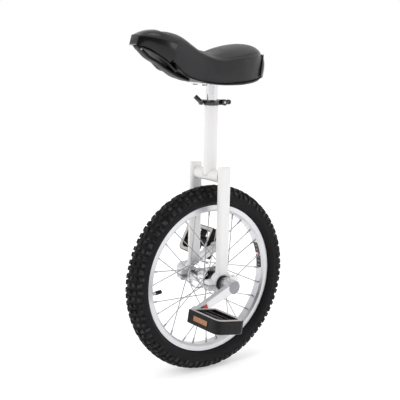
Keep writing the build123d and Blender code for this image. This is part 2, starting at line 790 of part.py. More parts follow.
    with BuildPart() as pedal_treads:
        with BuildSketch(flat.offset(core_half), flat.offset(-pedal_thickness / 2)):
            with BuildLine():
                Polyline(*outline, close=True)
            make_face()
            with Locations((0, (pedal_inner_face + pedal_outer_face - pedal_rim - pedal_window_margin) / 2)):
                Rectangle(2 * window_high, pedal_length - pedal_rim + pedal_window_margin, mode=Mode.SUBTRACT)
        extrude(amount=pedal_tread_thickness)
    save(pedal_treads.part, f"pedal_treads_{side_name}")

    with BuildPart() as pedal_reflectors:
        for end in (-1, 1):
            with BuildSketch(Plane(origin=eye + fore * (end * half_depth) + outward * reflector_centre,
                                   x_dir=outward, z_dir=fore * end)):
                Rectangle(reflector_length, reflector_height)
            extrude(amount=-reflector_depth + fit_gap)
    save(pedal_reflectors.part, f"pedal_reflectors_{side_name}")

    with BuildPart() as pedal_balls:
        for place in (pedal_inner_face + pedal_pocket_depth - pedal_ball_setback,
                      nut_place - pedal_pocket_depth + pedal_ball_setback):
            add(ball_ring(pedal_ball_count, pedal_spindle_diameter / 2 + pedal_ball_diameter / 2 + running,
                          pedal_ball_diameter, (centre[0], side * place, centre[1])))
    save(pedal_balls.part, f"pedal_balls_{side_name}")

    with BuildPart() as pedal_end_cap:
        add(turned(0, bearing_pocket - running, side * (pedal_outer_face - pedal_end_setback - pedal_end_cap_thickness),
                   side * (pedal_outer_face - pedal_end_setback), centre))
    save(pedal_end_cap.part, f"pedal_end_cap_{side_name}")

save(Compound(children=crank_covers), "crank_covers")
save(Compound(children=crank_bolts), "crank_bolts")
save(Compound(children=pedal_nuts), "pedal_nuts")

# ================= seat clamp
ear_start = collar_bore + ear_root
with BuildPart() as seat_collar:
    with BuildSketch(Plane.XY.offset(collar_base)):
        Circle(collar_radius)
        with Locations((-(ear_start + ear_reach) / 2, 0)):
            Rectangle(ear_reach - ear_start, 2 * ear_thickness + ear_gap)
    extrude(amount=collar_height)
    with BuildSketch(upright(ear_gap / 2 + ear_thickness - eyelet_thickness / 2)):
        with Locations((-(ear_reach + eyelet_reach) / 2, collar_middle)):
            Rectangle(eyelet_reach - ear_reach + eyelet_overlap, eyelet_diameter / 2)
        with Locations((-eyelet_reach, collar_middle)):
            Circle(eyelet_diameter / 2)
            Circle(eyelet_bore / 2, mode=Mode.SUBTRACT)
    extrude(amount=eyelet_thickness / 2, both=True)
    with BuildSketch(Plane.XY.offset(collar_base)):
        Circle(collar_bore)
        with Locations((-ear_reach / 2 - collar_bore / 2, 0)):
            Rectangle(ear_reach, ear_gap)
    extrude(amount=seat_tube_top - collar_base + running, mode=Mode.SUBTRACT)
    with BuildSketch(Plane.XY.offset(collar_base)):
        Circle(post_diameter / 2 + seat_gap)
        with Locations((-ear_reach / 2 - collar_bore / 2, 0)):
            Rectangle(ear_reach, ear_gap)
    extrude(amount=collar_height, mode=Mode.SUBTRACT)
    with BuildSketch(upright(0)):
        with Locations((-skewer_station, collar_middle)):
            Circle(skewer_diameter / 2 + fit_gap)
    extrude(amount=ear_thickness + ear_gap, both=True, mode=Mode.SUBTRACT)
save(seat_collar.part, "seat_collar")

ear_face = ear_gap / 2 + ear_thickness
skewer_centre = (-skewer_station, collar_middle)
pin_y = -lever_pin_offset
neck_radius = lever_pin_diameter / 2 + lever_head_wall
with BuildPart() as clamp_skewer:
    add(turned(0, skewer_diameter / 2, pin_y + lever_pin_diameter / 2 + lever_neck_gap,
               ear_face + clamp_nut_thickness - seat_gap, skewer_centre))
    with BuildSketch(Plane.XY.offset(collar_middle - lever_height / 4)):
        with Locations((-skewer_station, pin_y)):
            Circle(neck_radius)
        with Locations((-skewer_station, pin_y + lever_neck / 2)):
            Rectangle(skewer_diameter, lever_neck)
    extrude(amount=lever_height / 2)
    with BuildSketch(Plane.XY.offset(collar_middle - lever_height)):
        with Locations((-skewer_station, pin_y)):
            Circle(lever_pin_diameter / 2 + running)
    extrude(amount=2 * lever_height, mode=Mode.SUBTRACT)
save(clamp_skewer.part, "clamp_skewer")

save(turned(skewer_diameter / 2 + running, clamp_nut_diameter / 2, ear_face + running,
            ear_face + clamp_nut_thickness, skewer_centre), "clamp_nut")

arc_points = [Vector(lever_arc_radius * cos(radians(angle)), lever_arc_radius * sin(radians(angle)), collar_middle)
              for angle in (lever_arc_start, (lever_arc_start + lever_arc_end) / 2, lever_arc_end)]
tip_base = arc_points[2]
slot_shift = lever_slot_reach / 2 - skewer_diameter / 2 - seat_gap
slot_middle = (-skewer_station + slot_shift * cos(radians(lever_slot_turn)),
               pin_y + slot_shift * sin(radians(lever_slot_turn)))
tip_turn = radians(lever_arc_end + lever_tip_turn)
tip_rise = radians(lever_tip_rise)
tip_direction = Vector(cos(tip_turn) * cos(tip_rise), sin(tip_turn) * cos(tip_rise), sin(tip_rise))
with BuildPart() as clamp_lever:
    with BuildSketch(Plane.XY.offset(collar_middle - lever_height / 2)):
        with BuildLine():
            sweep_line = ThreePointArc(*[Vector(p.X, p.Y) for p in arc_points])
            offset(sweep_line, amount=lever_section / 2)
        make_face()
        with Locations((-skewer_station, pin_y)):
            Circle(lever_head_diameter / 2)
    extrude(amount=lever_height)
    with BuildSketch(Plane(origin=tip_base, z_dir=tip_direction)):
        Circle(lever_tip_diameter / 2)
    extrude(amount=lever_tip_length)
    with BuildSketch(Plane.XY.offset(collar_middle - lever_height / 4 - seat_gap)):
        with Locations((-skewer_station, pin_y)):
            Circle(neck_radius + seat_gap)
        with Locations(slot_middle):
            Rectangle(lever_slot_reach, lever_slot_reach, rotation=lever_slot_turn)
    extrude(amount=lever_height / 2 + 2 * seat_gap, mode=Mode.SUBTRACT)
    with BuildSketch(Plane.XY.offset(collar_middle - lever_height)):
        with Locations((-skewer_station, pin_y)):
            Circle(lever_pin_diameter / 2 + running)
    extrude(amount=2 * lever_height, mode=Mode.SUBTRACT)
    with BuildSketch(Plane.XY.offset(collar_base)):
        Circle(collar_radius + seat_gap)
    extrude(amount=2 * collar_height, mode=Mode.SUBTRACT)
save(clamp_lever.part, "clamp_lever")

with BuildPart() as lever_pin:
    with BuildSketch(Plane.XY.offset(collar_middle - lever_height / 2 - pin_overhang)):
        with Locations((-skewer_station, pin_y)):
            Circle(lever_pin_diameter / 2)
    extrude(amount=lever_height + 2 * pin_overhang)
save(lever_pin.part, "lever_pin")

# ================= seat post
with BuildPart() as seat_post:
    with BuildSketch(Plane.XY.offset(post_bottom)):
        Circle(post_diameter / 2)
        Circle(post_diameter / 2 - post_wall, mode=Mode.SUBTRACT)
    extrude(amount=post_top - post_bottom)
save(seat_post.part, "seat_post")

with BuildPart() as post_plate:
    with BuildSketch(Plane.XY.offset(post_top)):
        RectangleRounded(plate_length, plate_width, plate_corner)
        with GridLocations(saddle_bolt_spacing_x, saddle_bolt_spacing_y, 2, 2):
            Circle(saddle_bolt_diameter / 2 + fit_gap, mode=Mode.SUBTRACT)
    extrude(amount=plate_thickness)
save(post_plate.part, "post_plate")

# ================= saddle
pan_boss_top = plate_top + max(pan_floor[2:6]) + pan_wall + fit_gap
pan_stations = []
for station, floor in zip(saddle_stations, pan_floor):
    pan_stations.append((station[0], station[1] - cover_thickness - seat_gap, floor, station[2] + pan_overlap))


def pan_section(place, half_width, low, high):
    """A rectangular cross-section of the saddle's pan."""
    with BuildSketch(Plane.YZ.offset(place)) as section:
        with Locations((0, plate_top + (low + high) / 2)):
            Rectangle(2 * half_width, high - low)
    return section.sketch


tail = saddle_stations[0][0]
nose_root = saddle_stations[-1][0]
with BuildPart() as saddle_pan:
    add(loft([pan_section(place + (cover_thickness + seat_gap if place == tail else 0), half_width, low, high)
              for place, half_width, low, high in pan_stations], ruled=True))
    add(loft([pan_section(place + (2 * pan_wall if place == tail else 0) - (pan_wall if place == nose_root else 0),
                          half_width - pan_wall, low + pan_wall, high + pan_wall)
              for place, half_width, low, high in pan_stations], ruled=True), mode=Mode.SUBTRACT)
    with BuildSketch(Plane.XY.offset(plate_top)):
        Rectangle(plate_length, plate_width)
    extrude(amount=pan_boss_top - plate_top)
    with BuildSketch(Plane.XY.offset(post_top)):
        with GridLocations(saddle_bolt_spacing_x, saddle_bolt_spacing_y, 2, 2):
            Circle(saddle_bolt_diameter / 2 + fit_gap)
    extrude(amount=4 * pan_wall + plate_thickness, mode=Mode.SUBTRACT)
save(saddle_pan.part, "saddle_pan")

foam_front = saddle_stations[-1][0] - foam_front_margin
foam_stations = [saddle_stations[0]] + saddle_stations[1:-1]
foam_stations.append(between(saddle_stations[-2], saddle_stations[-1], foam_front))
with BuildPart() as saddle_foam:
    add(loft([saddle_section((place + (cover_thickness + 2 * seat_gap if place == tail else 0),) + tuple(rest),
                             cover_thickness + seat_gap, rest[1] + pan_overlap + seat_gap)
              for place, *rest in foam_stations], ruled=True))
save(saddle_foam.part, "saddle_foam")

with BuildPart() as saddle_cover:
    add(loft([saddle_section(station, 0, None) for station in saddle_stations], ruled=True))
    add(loft([saddle_section((place + (cover_thickness if place == tail else 0),) + tuple(rest),
                             cover_thickness, rest[1] - loft_overrun)
              for place, *rest in saddle_stations + [beyond(saddle_stations[-1], loft_overrun)]],
             ruled=True), mode=Mode.SUBTRACT)
save(saddle_cover.part, "saddle_cover")

nose_back = nose_stations[0][0] + seat_gap
nose_tip = nose_stations[-1][0]
with BuildPart() as front_bumper:
    add(loft([saddle_section((max(place, nose_back),) + tuple(rest), 0, None) for place, *rest in nose_stations],
             ruled=True))
    add(loft([saddle_section((place - (bumper_wall if place == nose_tip else 0),) + tuple(rest),
                             bumper_wall, rest[1] - loft_overrun)
              for place, *rest in [beyond(nose_stations[0], -loft_overrun)] + nose_stations],
             ruled=True), mode=Mode.SUBTRACT)
save(front_bumper.part, "front_bumper")

with BuildPart() as front_handle:
    with BuildSketch(upright(0)):
        with BuildLine():
            lower = Spline((nose_back, plate_top + handle_root_height), *[(x, plate_top + z) for x, z in handle_path])
            upper = Spline((nose_back, plate_top + handle_root_height + handle_thickness),
                           *[(x - handle_thickness / 2, plate_top + z + handle_thickness) for x, z in handle_path])
            Line(lower @ 0, upper @ 0)
            Polyline(lower @ 1, (nose_tip - bumper_wall - seat_gap, plate_top + handle_top),
                     (upper @ 1).add(Vector(0, handle_shoulder)), upper @ 1)
        make_face()
    extrude(amount=handle_width / 2, both=True)
save(front_handle.part, "front_handle")

with BuildPart() as rear_bumper:
    with BuildSketch(Plane.YZ.offset(tail - seat_gap)):
        with Locations((0, plate_top + (rear_bumper_low + rear_bumper_high) / 2)):
            RectangleRounded(rear_bumper_width, rear_bumper_high - rear_bumper_low, rear_bumper_corner)
    extrude(amount=-rear_bumper_thickness)
    fillet(rear_bumper.faces().sort_by(Axis.X)[0].edges(), radius=rear_bumper_edge)
save(rear_bumper.part, "rear_bumper")

with BuildPart() as saddle_bolts:
    with BuildSketch(Plane.XY.offset(post_top)):
        with GridLocations(saddle_bolt_spacing_x, saddle_bolt_spacing_y, 2, 2):
            RegularPolygon(saddle_bolt_head / 2, 6, major_radius=False)
    extrude(amount=-saddle_bolt_head_height)
    with BuildSketch(Plane.XY.offset(post_top)):
        with GridLocations(saddle_bolt_spacing_x, saddle_bolt_spacing_y, 2, 2):
            Circle(saddle_bolt_diameter / 2)
    extrude(amount=pan_boss_top - post_top + saddle_bolt_reach)
save(saddle_bolts.part, "saddle_bolts")

with BuildPart() as saddle_nuts:
    with BuildSketch(Plane.XY.offset(pan_boss_top)):
        with GridLocations(saddle_bolt_spacing_x, saddle_bolt_spacing_y, 2, 2):
            RegularPolygon(saddle_bolt_head / 2, 6, major_radius=False)
            Circle(saddle_bolt_diameter / 2 + running, mode=Mode.SUBTRACT)
    extrude(amount=saddle_nut_height)
save(saddle_nuts.part, "saddle_nuts")
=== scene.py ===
"""Looks for the sixteen-inch unicycle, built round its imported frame.

Metres. +X is forward, +Y is the rider's left, +Z is up, and the origin is on the ground under the axle.
"""
import json
from math import cos, pi, radians, sin, sqrt, tau

import bmesh
import bpy
from mathutils import Matrix, Vector
from mathutils.bvhtree import BVHTree


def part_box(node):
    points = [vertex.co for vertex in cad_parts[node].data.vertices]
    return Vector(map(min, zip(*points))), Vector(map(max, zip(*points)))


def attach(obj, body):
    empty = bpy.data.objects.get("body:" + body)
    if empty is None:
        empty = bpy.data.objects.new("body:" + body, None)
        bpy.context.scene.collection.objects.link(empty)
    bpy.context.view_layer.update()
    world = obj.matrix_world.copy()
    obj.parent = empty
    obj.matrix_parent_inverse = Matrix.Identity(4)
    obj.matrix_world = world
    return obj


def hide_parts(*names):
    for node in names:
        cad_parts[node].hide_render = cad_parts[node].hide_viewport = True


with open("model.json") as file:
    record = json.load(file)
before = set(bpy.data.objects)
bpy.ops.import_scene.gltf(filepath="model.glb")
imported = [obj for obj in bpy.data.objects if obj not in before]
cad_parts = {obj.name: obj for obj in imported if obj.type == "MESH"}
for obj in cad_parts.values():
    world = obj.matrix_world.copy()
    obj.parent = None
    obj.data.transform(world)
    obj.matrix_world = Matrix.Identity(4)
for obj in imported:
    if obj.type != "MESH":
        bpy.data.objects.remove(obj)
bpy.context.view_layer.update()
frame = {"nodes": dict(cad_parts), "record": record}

MM = 0.001
SIDES = (("left", 1), ("right", -1))


# ================= shader writing
class Wire:
    """One output of a shader node. Arithmetic on it adds Math nodes."""

    def __init__(self, finish, socket):
        self.finish = finish
        self.socket = socket

    def worked(self, operation, first, second=0.0):
        return self.finish.node("ShaderNodeMath", {"operation": operation}, {0: first, 1: second})

    def __add__(self, other):
        return self.worked("ADD", self, other)

    __radd__ = __add__

    def __sub__(self, other):
        return self.worked("SUBTRACT", self, other)

    def __rsub__(self, other):
        return self.worked("SUBTRACT", other, self)

    def __mul__(self, other):
        return self.worked("MULTIPLY", self, other)

    __rmul__ = __mul__

    def wave(self):
        return self.worked("SINE", self)

    def size(self):
        return self.worked("ABSOLUTE", self)

    def over(self, start, end):
        """0 below start, 1 above end, and smooth between."""
        return self.finish.node("ShaderNodeMapRange", {"interpolation_type": "SMOOTHSTEP"},
                                {"Value": self, "From Min": start, "From Max": end})


class Finish:
    """One material, or the room's light, as it is being written."""

    def __init__(self, name, shelf=None):
        self.material = (bpy.data.materials if shelf is None else shelf).new(name)
        self.material.use_nodes = True
        self.tree = self.material.node_tree
        self.tree.nodes.clear()

    def node(self, kind, settings=None, sockets=None, output=0):
        """Add a node: its settings first, then the values or links of its sockets."""
        made = self.tree.nodes.new(kind)
        for name, value in (settings or {}).items():
            setattr(made, name, value)
        for key, value in (sockets or {}).items():
            if isinstance(value, Wire):
                self.tree.links.new(value.socket, made.inputs[key])
            else:
                made.inputs[key].default_value = value
        return Wire(self, made.outputs[output]) if made.outputs else None

    def place(self):
        return self.node("ShaderNodeTexCoord", output="Object")

    def along(self, axis):
        """The X, Y or Z of the place on the piece, in metres."""
        return self.node("ShaderNodeSeparateXYZ", None, {0: self.place()}, axis)

    def stretched(self, x, y, z):
        """The place scaled differently along each axis, for grain that runs one way."""
        return self.node("ShaderNodeVectorMath", {"operation": "MULTIPLY"}, {0: self.place(), 1: (x, y, z)})

    def noise(self, scale, detail=3.0, roughness=0.5, where=None):
        sockets = {"Vector": where or self.place(), "Scale": scale, "Detail": detail, "Roughness": roughness}
        return self.node("ShaderNodeTexNoise", None, sockets)

    def cells(self, scale, feature="F1"):
        return self.node("ShaderNodeTexVoronoi", {"feature": feature},
                         {"Vector": self.place(), "Scale": scale}, "Distance")

    def corners(self):
        """About a half on flat faces, more on edges and less in hollows."""
        return self.node("ShaderNodeNewGeometry", output="Pointiness")

    def blend(self, share, low, high):
        """A colour between two others."""
        return self.node("ShaderNodeMix", {"data_type": "RGBA"}, {0: share, 6: low, 7: high}, 2)

    def clouded(self, dark, light, *noise):
        """A cloud of noise, and the colour that it draws between a dark one and a light one."""
        cloud = self.noise(*noise)
        return cloud, self.blend(cloud, dark, light)

    def surface(self, colour, roughness, relief=None, depth=0.0, **uniform):
        """The shader itself; uniform holds the values that are the same all over."""
        sockets = {"Base Color": colour, "Roughness": roughness}
        for name, value in uniform.items():
            sockets[name.replace("_", " ").title().replace("Ior", "IOR")] = value
        if relief is not None:
            sockets["Normal"] = self.node("ShaderNodeBump", None, {"Height": relief, "Distance": depth})
        shader = self.node("ShaderNodeBsdfPrincipled", None, sockets)
        self.node("ShaderNodeOutputMaterial", None, {"Surface": shader})
        return self.material


def rgb(red, green, blue):
    return (red, green, blue, 1.0)


# ================= finishes
def white_powder_coat():
    """Gloss white with a slight peel, faint warm clouding and a few rubbed specks."""
    finish = Finish("white_powder_coat")
    clouding, colour = finish.clouded(rgb(0.80, 0.788, 0.79), rgb(0.865, 0.856, 0.858), 11, 3)
    peel = finish.noise(420, 2)
    rubbed = finish.noise(75, 6, 0.6).over(0.69, 0.75)
    colour = finish.blend(rubbed * 0.3, colour, rgb(0.52, 0.50, 0.47))
    roughness = 0.24 + 0.14 * clouding + 0.2 * rubbed
    return finish.surface(colour, roughness, peel, 0.00012, coat_weight=0.35, coat_roughness=0.12)


def weld_paint():
    """The same white over the ripples of a weld, grey where paint is thin."""
    finish = Finish("white_weld_paint")
    thin = finish.noise(300, 4).over(0.5, 0.7)
    colour = finish.blend(thin * 0.6, rgb(0.80, 0.79, 0.77), rgb(0.55, 0.54, 0.52))
    return finish.surface(colour, 0.35 + 0.15 * thin, finish.noise(700, 3), 0.0002, coat_weight=0.2)


def satin_casting():
    """Sand-cast aluminium, tumbled bright, with pores."""
    finish = Finish("satin_cast_aluminium")
    clouding, colour = finish.clouded(rgb(0.42, 0.42, 0.435), rgb(0.64, 0.64, 0.655), 30, 4)
    pores = finish.cells(900).over(0.0, 0.35)
    roughness = 0.30 + 0.18 * clouding
    return finish.surface(colour, roughness, pores + finish.noise(500), 0.0002, metallic=0.95)


def polished_arm():
    """Forged aluminium arms: satin, with fine lines along the length and darker nicks."""
    finish = Finish("satin_forged_aluminium")
    lines = finish.noise(60, 5, 0.6, finish.stretched(2, 30, 30))
    nicks = finish.noise(160, 6, 0.7).over(0.68, 0.74)
    colour = finish.blend(lines, rgb(0.56, 0.56, 0.58), rgb(0.76, 0.76, 0.78))
    colour = finish.blend(nicks * 0.5, colour, rgb(0.32, 0.32, 0.34))
    return finish.surface(colour, 0.20 + 0.16 * lines, lines, 0.0001, metallic=1.0)


def turned_rim():
    """Rim aluminium with rings left by turning, and a soft grey cloud of oxide."""
    finish = Finish("turned_rim_aluminium")
    forward = finish.along(0)
    up = finish.along(2) - AXLE_HEIGHT
    radius = finish.node("ShaderNodeMath", {"operation": "SQRT"}, {0: forward * forward + up * up})
    rings = finish.noise(1.0, 3, 0.7, finish.node("ShaderNodeCombineXYZ", None, {0: radius * 3200}))
    oxide, colour = finish.clouded(rgb(0.58, 0.58, 0.60), rgb(0.74, 0.74, 0.76), 28, 5)
    return finish.surface(colour, 0.26 + 0.14 * oxide, rings, 0.00006, metallic=0.9)


def zinc_plate():
    """Bright plated steel with a faint cool cloud."""
    finish = Finish("bright_zinc_plate")
    cloud, colour = finish.clouded(rgb(0.30, 0.30, 0.315), rgb(0.52, 0.52, 0.54), 130, 4)
    return finish.surface(colour, 0.2 + 0.2 * cloud, finish.noise(900), 0.00005, metallic=1.0)


def polished_chrome():
    """Mirror plate with light polishing marks round the tube."""
    finish = Finish("polished_chrome")
    marks = finish.noise(40, 4, 0.6, finish.stretched(1, 1, 40))
    colour = finish.blend(marks, rgb(0.72, 0.72, 0.74), rgb(0.88, 0.88, 0.90))
    return finish.surface(colour, 0.05 + 0.09 * marks, marks, 0.00002, metallic=1.0)


def grey_cap():
    """Satin grey moulded disc with a fine grain."""
    finish = Finish("grey_moulded_cap")
    grain = finish.cells(1500)
    cloud, colour = finish.clouded(rgb(0.27, 0.27, 0.285), rgb(0.36, 0.36, 0.375), 90, 3)
    return finish.surface(colour, 0.38 + 0.15 * cloud, grain, 0.0001, metallic=0.35)


def soft_rubber(name, dark, light):
    """Matt rubber with bloom."""
    finish = Finish(name)
    bloom, colour = finish.clouded(rgb(*dark), rgb(*light), 60, 5)
    return finish.surface(colour, 0.6 + 0.2 * bloom, finish.noise(700), 0.0001)


def tyre_rubber():
    """Black tyre rubber: matt, dusty on the knob faces and darker in the hollows."""
    finish = Finish("tyre_rubber")
    bloom, colour = finish.clouded(rgb(0.004, 0.004, 0.0045), rgb(0.009, 0.009, 0.0105), 40, 5)
    grain = finish.noise(1100, 3)
    dust = finish.corners().over(0.50, 0.60) * finish.noise(90, 4).over(0.35, 0.75)
    colour = finish.blend(dust * 0.55, colour, rgb(0.085, 0.080, 0.084))
    return finish.surface(colour, 0.46 + 0.22 * bloom, grain, 0.00025, specular_ior_level=0.15)


def black_moulding():
    """Satin black plastic with a fine spark-eroded grain."""
    finish = Finish("black_moulded_plastic")
    grain = finish.cells(1300)
    cloud, colour = finish.clouded(rgb(0.003, 0.003, 0.0034), rgb(0.007, 0.007, 0.0075), 45, 4)
    worn = finish.corners().over(0.53, 0.62) * finish.noise(130, 4).over(0.4, 0.7)
    colour = finish.blend(worn * 0.3, colour, rgb(0.06, 0.06, 0.06))
    return finish.surface(colour, 0.30 + 0.18 * cloud, grain, 0.00012, specular_ior_level=0.2)


def grey_tread():
    """Warm grey pedal tread, scuffed by shoes."""
    finish = Finish("grey_pedal_tread")
    scuffs = finish.noise(110, 6, 0.65, finish.stretched(1, 3, 1))
    colour = finish.blend(scuffs, rgb(0.40, 0.37, 0.36), rgb(0.58, 0.55, 0.53))
    return finish.surface(colour, 0.5 + 0.2 * scuffs, finish.cells(1000), 0.0002)


def amber_prisms():
    """Amber reflector with rows of tiny cube corners behind its face."""
    finish = Finish("amber_reflector")
    prisms = finish.cells(520)
    colour = finish.blend(prisms.over(0.1, 0.6), rgb(0.62, 0.26, 0.08), rgb(0.30, 0.10, 0.025))
    return finish.surface(colour, 0.16 + 0.2 * prisms, prisms, 0.0008, coat_weight=0.6, coat_roughness=0.05)


def black_anodised():
    """Glossy black anodised clamp, paler where the lever rubs."""
    finish = Finish("black_anodised")
    cloud, colour = finish.clouded(rgb(0.006, 0.006, 0.007), rgb(0.014, 0.014, 0.015), 150, 4)
    rubbed = finish.corners().over(0.53, 0.6) * cloud.over(0.4, 0.6)
    colour = finish.blend(rubbed * 0.5, colour, rgb(0.25, 0.25, 0.26))
    return finish.surface(colour, 0.16 + 0.14 * cloud, cloud, 0.00005, coat_weight=0.4, coat_roughness=0.08)


def piano_black():
    """High-gloss black bumper plastic with hairline swirls."""
    finish = Finish("gloss_black_bumper")
    swirls, colour = finish.clouded(rgb(0.004, 0.004, 0.005), rgb(0.008, 0.008, 0.009), 55, 6, 0.7)
    hairlines = finish.noise(24, 4, 0.6, finish.stretched(1, 14, 5)).over(0.62, 0.70)
    return finish.surface(colour, 0.12 + 0.08 * swirls + 0.12 * hairlines, swirls, 0.00006,
                          specular_ior_level=0.3, coat_weight=0.15, coat_roughness=0.05)


def saddle_vinyl():
    """Satin black vinyl with a pebbled leather grain and a soft purple-grey bloom."""
    finish = Finish("saddle_vinyl")
    pebbles = finish.cells(900, "DISTANCE_TO_EDGE")
    creases = finish.noise(260, 4, 0.6)
    bloom, colour = finish.clouded(rgb(0.010, 0.009, 0.0105), rgb(0.017, 0.0152, 0.018), 16, 3)
    grain = pebbles.over(0.0, 0.25) + 0.5 * creases
    return finish.surface(colour, 0.34 + 0.12 * bloom - 0.06 * pebbles.over(0.0, 0.2), grain, 0.00018,
                          specular_ior_level=0.4, sheen_weight=0.10, sheen_roughness=0.4)


def moulded_foam():
    """Grey foam with open cells."""
    finish = Finish("moulded_foam")
    cells = finish.cells(700)
    colour = finish.blend(cells, rgb(0.06, 0.06, 0.06), rgb(0.14, 0.14, 0.14))
    return finish.surface(colour, 0.9, cells, 0.0004)


def red_label():
    """Printed red film, plain, slightly faded."""
    finish = Finish("red_label_film")
    fade, colour = finish.clouded(rgb(0.62, 0.05, 0.04), rgb(0.78, 0.14, 0.11), 200, 4)
    return finish.surface(colour, 0.3 + 0.1 * fade, fade, 0.00003)


def striped_label():
    """A plain dark rim label with pale bars, a red patch and no lettering."""
    finish = Finish("striped_rim_label")
    bars = (finish.along(2) * 700).wave().over(0.72, 0.86) * (1 - finish.along(1).size().over(0.0030, 0.0036))
    fade = finish.noise(220, 4)
    colour = finish.blend(bars * 0.6, rgb(0.012, 0.012, 0.014), rgb(0.55, 0.54, 0.55))
    patch = 1 - (finish.along(2) - 0.2345).size().over(0.0045, 0.0052)
    colour = finish.blend(patch * 0.8, colour, rgb(0.40, 0.035, 0.04))
    return finish.surface(colour, 0.3 + 0.15 * fade, fade, 0.00003)


# ================= sizes taken from the frame
tyre_low, tyre_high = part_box("tyre")
AXLE_HEIGHT = (tyre_low.z + tyre_high.z) / 2
TYRE_RADIUS = (tyre_high.x - tyre_low.x) / 2

FINISHES = {
    "frame_paint": white_powder_coat(),
    "cast_silver": satin_casting(),
    "bright_steel": zinc_plate(),
    "chrome": polished_chrome(),
    "crank_cover_grey": grey_cap(),
    "seal_rubber": soft_rubber("seal_rubber", (0.012, 0.012, 0.012), (0.028, 0.028, 0.028)),
    "tyre_rubber": tyre_rubber(),
    "tube_rubber": soft_rubber("tube_rubber", (0.018, 0.018, 0.018), (0.035, 0.035, 0.035)),
    "black_plastic": black_moulding(),
    "tread_grey": grey_tread(),
    "reflector_amber": amber_prisms(),
    "clamp_black": black_anodised(),
    "bumper_gloss": piano_black(),
    "saddle_vinyl": saddle_vinyl(),
    "foam": moulded_foam(),
    "rim": turned_rim(),
    "arm": polished_arm(),
    "weld_paint": weld_paint(),
    "red_label": red_label(),
    "striped_label": striped_label(),
}


# ================= mesh making
def skin(rows, wrap=True, caps=True):
    """Join equal rows of points into a surface, closed round each row and at both ends if asked."""
    count = len(rows[0])
    points = [point for row in rows for point in row]
    faces = []
    for row in range(len(rows) - 1):
        for column in range(count if wrap else count - 1):
            beside = (column + 1) % count
            faces.append((row * count + column, row * count + beside,
                          (row + 1) * count + beside, (row + 1) * count + column))
    if caps:
        faces.append(tuple(reversed(range(count))))
        faces.append(tuple(range((len(rows) - 1) * count, len(rows) * count)))
    return points, faces


def ring_skin(rows):
    """Join rows of points that also close on themselves from last to first."""
    points, faces = skin(rows, caps=False)
    count = len(rows[0])
    last = (len(rows) - 1) * count
    for column in range(count):
        beside = (column + 1) % count
        faces.append((last + column, last + beside, beside, column))
    return points, faces


def together(*shapes):
    """Several point-and-face shapes as one."""
    points, faces = [], []
    for shape_points, shape_faces in shapes:
        first = len(points)
        points.extend(shape_points)
        faces.extend(tuple(first + index for index in face) for face in shape_faces)
    return points, faces


def shaped(name, shape, finish, sharp=40.0):
    """Turn points and faces into a smooth-shaded object with its finish."""
    mesh = bpy.data.meshes.new(name)
    mesh.from_pydata([tuple(point) for point in shape[0]], [], shape[1])
    work = bmesh.new()
    work.from_mesh(mesh)
    bmesh.ops.recalc_face_normals(work, faces=work.faces)
    work.to_mesh(mesh)
    work.free()
    mesh.shade_smooth()
    mesh.set_sharp_from_angle(angle=radians(sharp))
    mesh.materials.append(finish)
    made = bpy.data.objects.new(name, mesh)
    bpy.context.scene.collection.objects.link(made)
    return made


def fitted(made, body, slot, *nodes, levels=0):
    """Subdivide a piece if asked, then tie it to its body and hide the nodes that it stands for; its slot is
    not used.
    """
    if levels:
        made.modifiers.new("smoothing", "SUBSURF").levels = levels
        made.modifiers["smoothing"].render_levels = levels
    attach(made, body)
    if nodes:
        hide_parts(*nodes)
    return made


def run_between(places, values, place):
    """A smooth curve through values at places, level with its neighbours' slopes."""
    last = len(places) - 1
    step = max(i for i in range(last) if places[i] <= max(place, places[0]))
    span = places[step + 1] - places[step]
    share = min(1.0, (place - places[step]) / span)

    def slope(index):
        before, after = max(0, index - 1), min(last, index + 1)
        return (values[after] - values[before]) / (places[after] - places[before])

    start, end = values[step], values[step + 1]
    return ((2 * share ** 3 - 3 * share ** 2 + 1) * start
            + (share ** 3 - 2 * share ** 2 + share) * span * slope(step)
            + (3 * share ** 2 - 2 * share ** 3) * end
            + (share ** 3 - share ** 2) * span * slope(step + 1))


def two_skins(outer, inner):
    """An outer and an inner open surface in one shape, not yet joined along their edges."""
    return together(skin(outer, wrap=False, caps=False), skin(inner, wrap=False, caps=False))


def rod(path, radius, sides=12, closed=False, ripple=0.0, ripples=1):
    """A round bar along points; ripple makes it a weld bead."""
    rows = []
    count = len(path)
    for index, point in enumerate(path):
        before = path[index - 1] if closed or index else path[0]
        after = path[(index + 1) % count] if closed or index < count - 1 else path[-1]
        heading = (after - before).normalized()
        across = heading.cross(Vector((0, 0, 1)) if abs(heading.z) < 0.9 else Vector((1, 0, 0))).normalized()
        over = heading.cross(across)
        thick = radius * (1 + ripple * sin(tau * ripples * index / count))
        rows.append([point + thick * (cos(tau * k / sides) * across + sin(tau * k / sides) * over)
                     for k in range(sides)])
    return ring_skin(rows) if closed else skin(rows)


# ================= tyre
def wheel_point(across, radius, turn):
    return Vector((radius * cos(turn), across, AXLE_HEIGHT + radius * sin(turn)))


PITCHES = 84
CASING_STEPS = 168
CASING_MIDDLE = TYRE_RADIUS - 23.6 * MM
CASING = (24.6 * MM, 19.2 * MM)
TREAD_LIFT = (2.5 * MM, 4.4 * MM)
# across and radius, from the bead out over the moulded lines of the wall
SIDEWALL = [(7.2, 152.8), (10.7, 152.8), (10.8, 160.5), (12.6, 161.4), (15.4, 162.0), (16.6, 163.6),
            (17.9, 163.1), (20.2, 165.1), (21.6, 166.7), (22.5, 167.2), (22.6, 168.6), (23.3, 170.3),
            (24.3, 171.1), (24.0, 172.6), (24.4, 175.2)]
INNER_WALL = [(0.0, 192.6), (11.0, 190.5), (18.0, 186.0), (21.4, 178.0), (19.6, 169.5), (13.0, 163.5),
              (7.2, 160.5)]


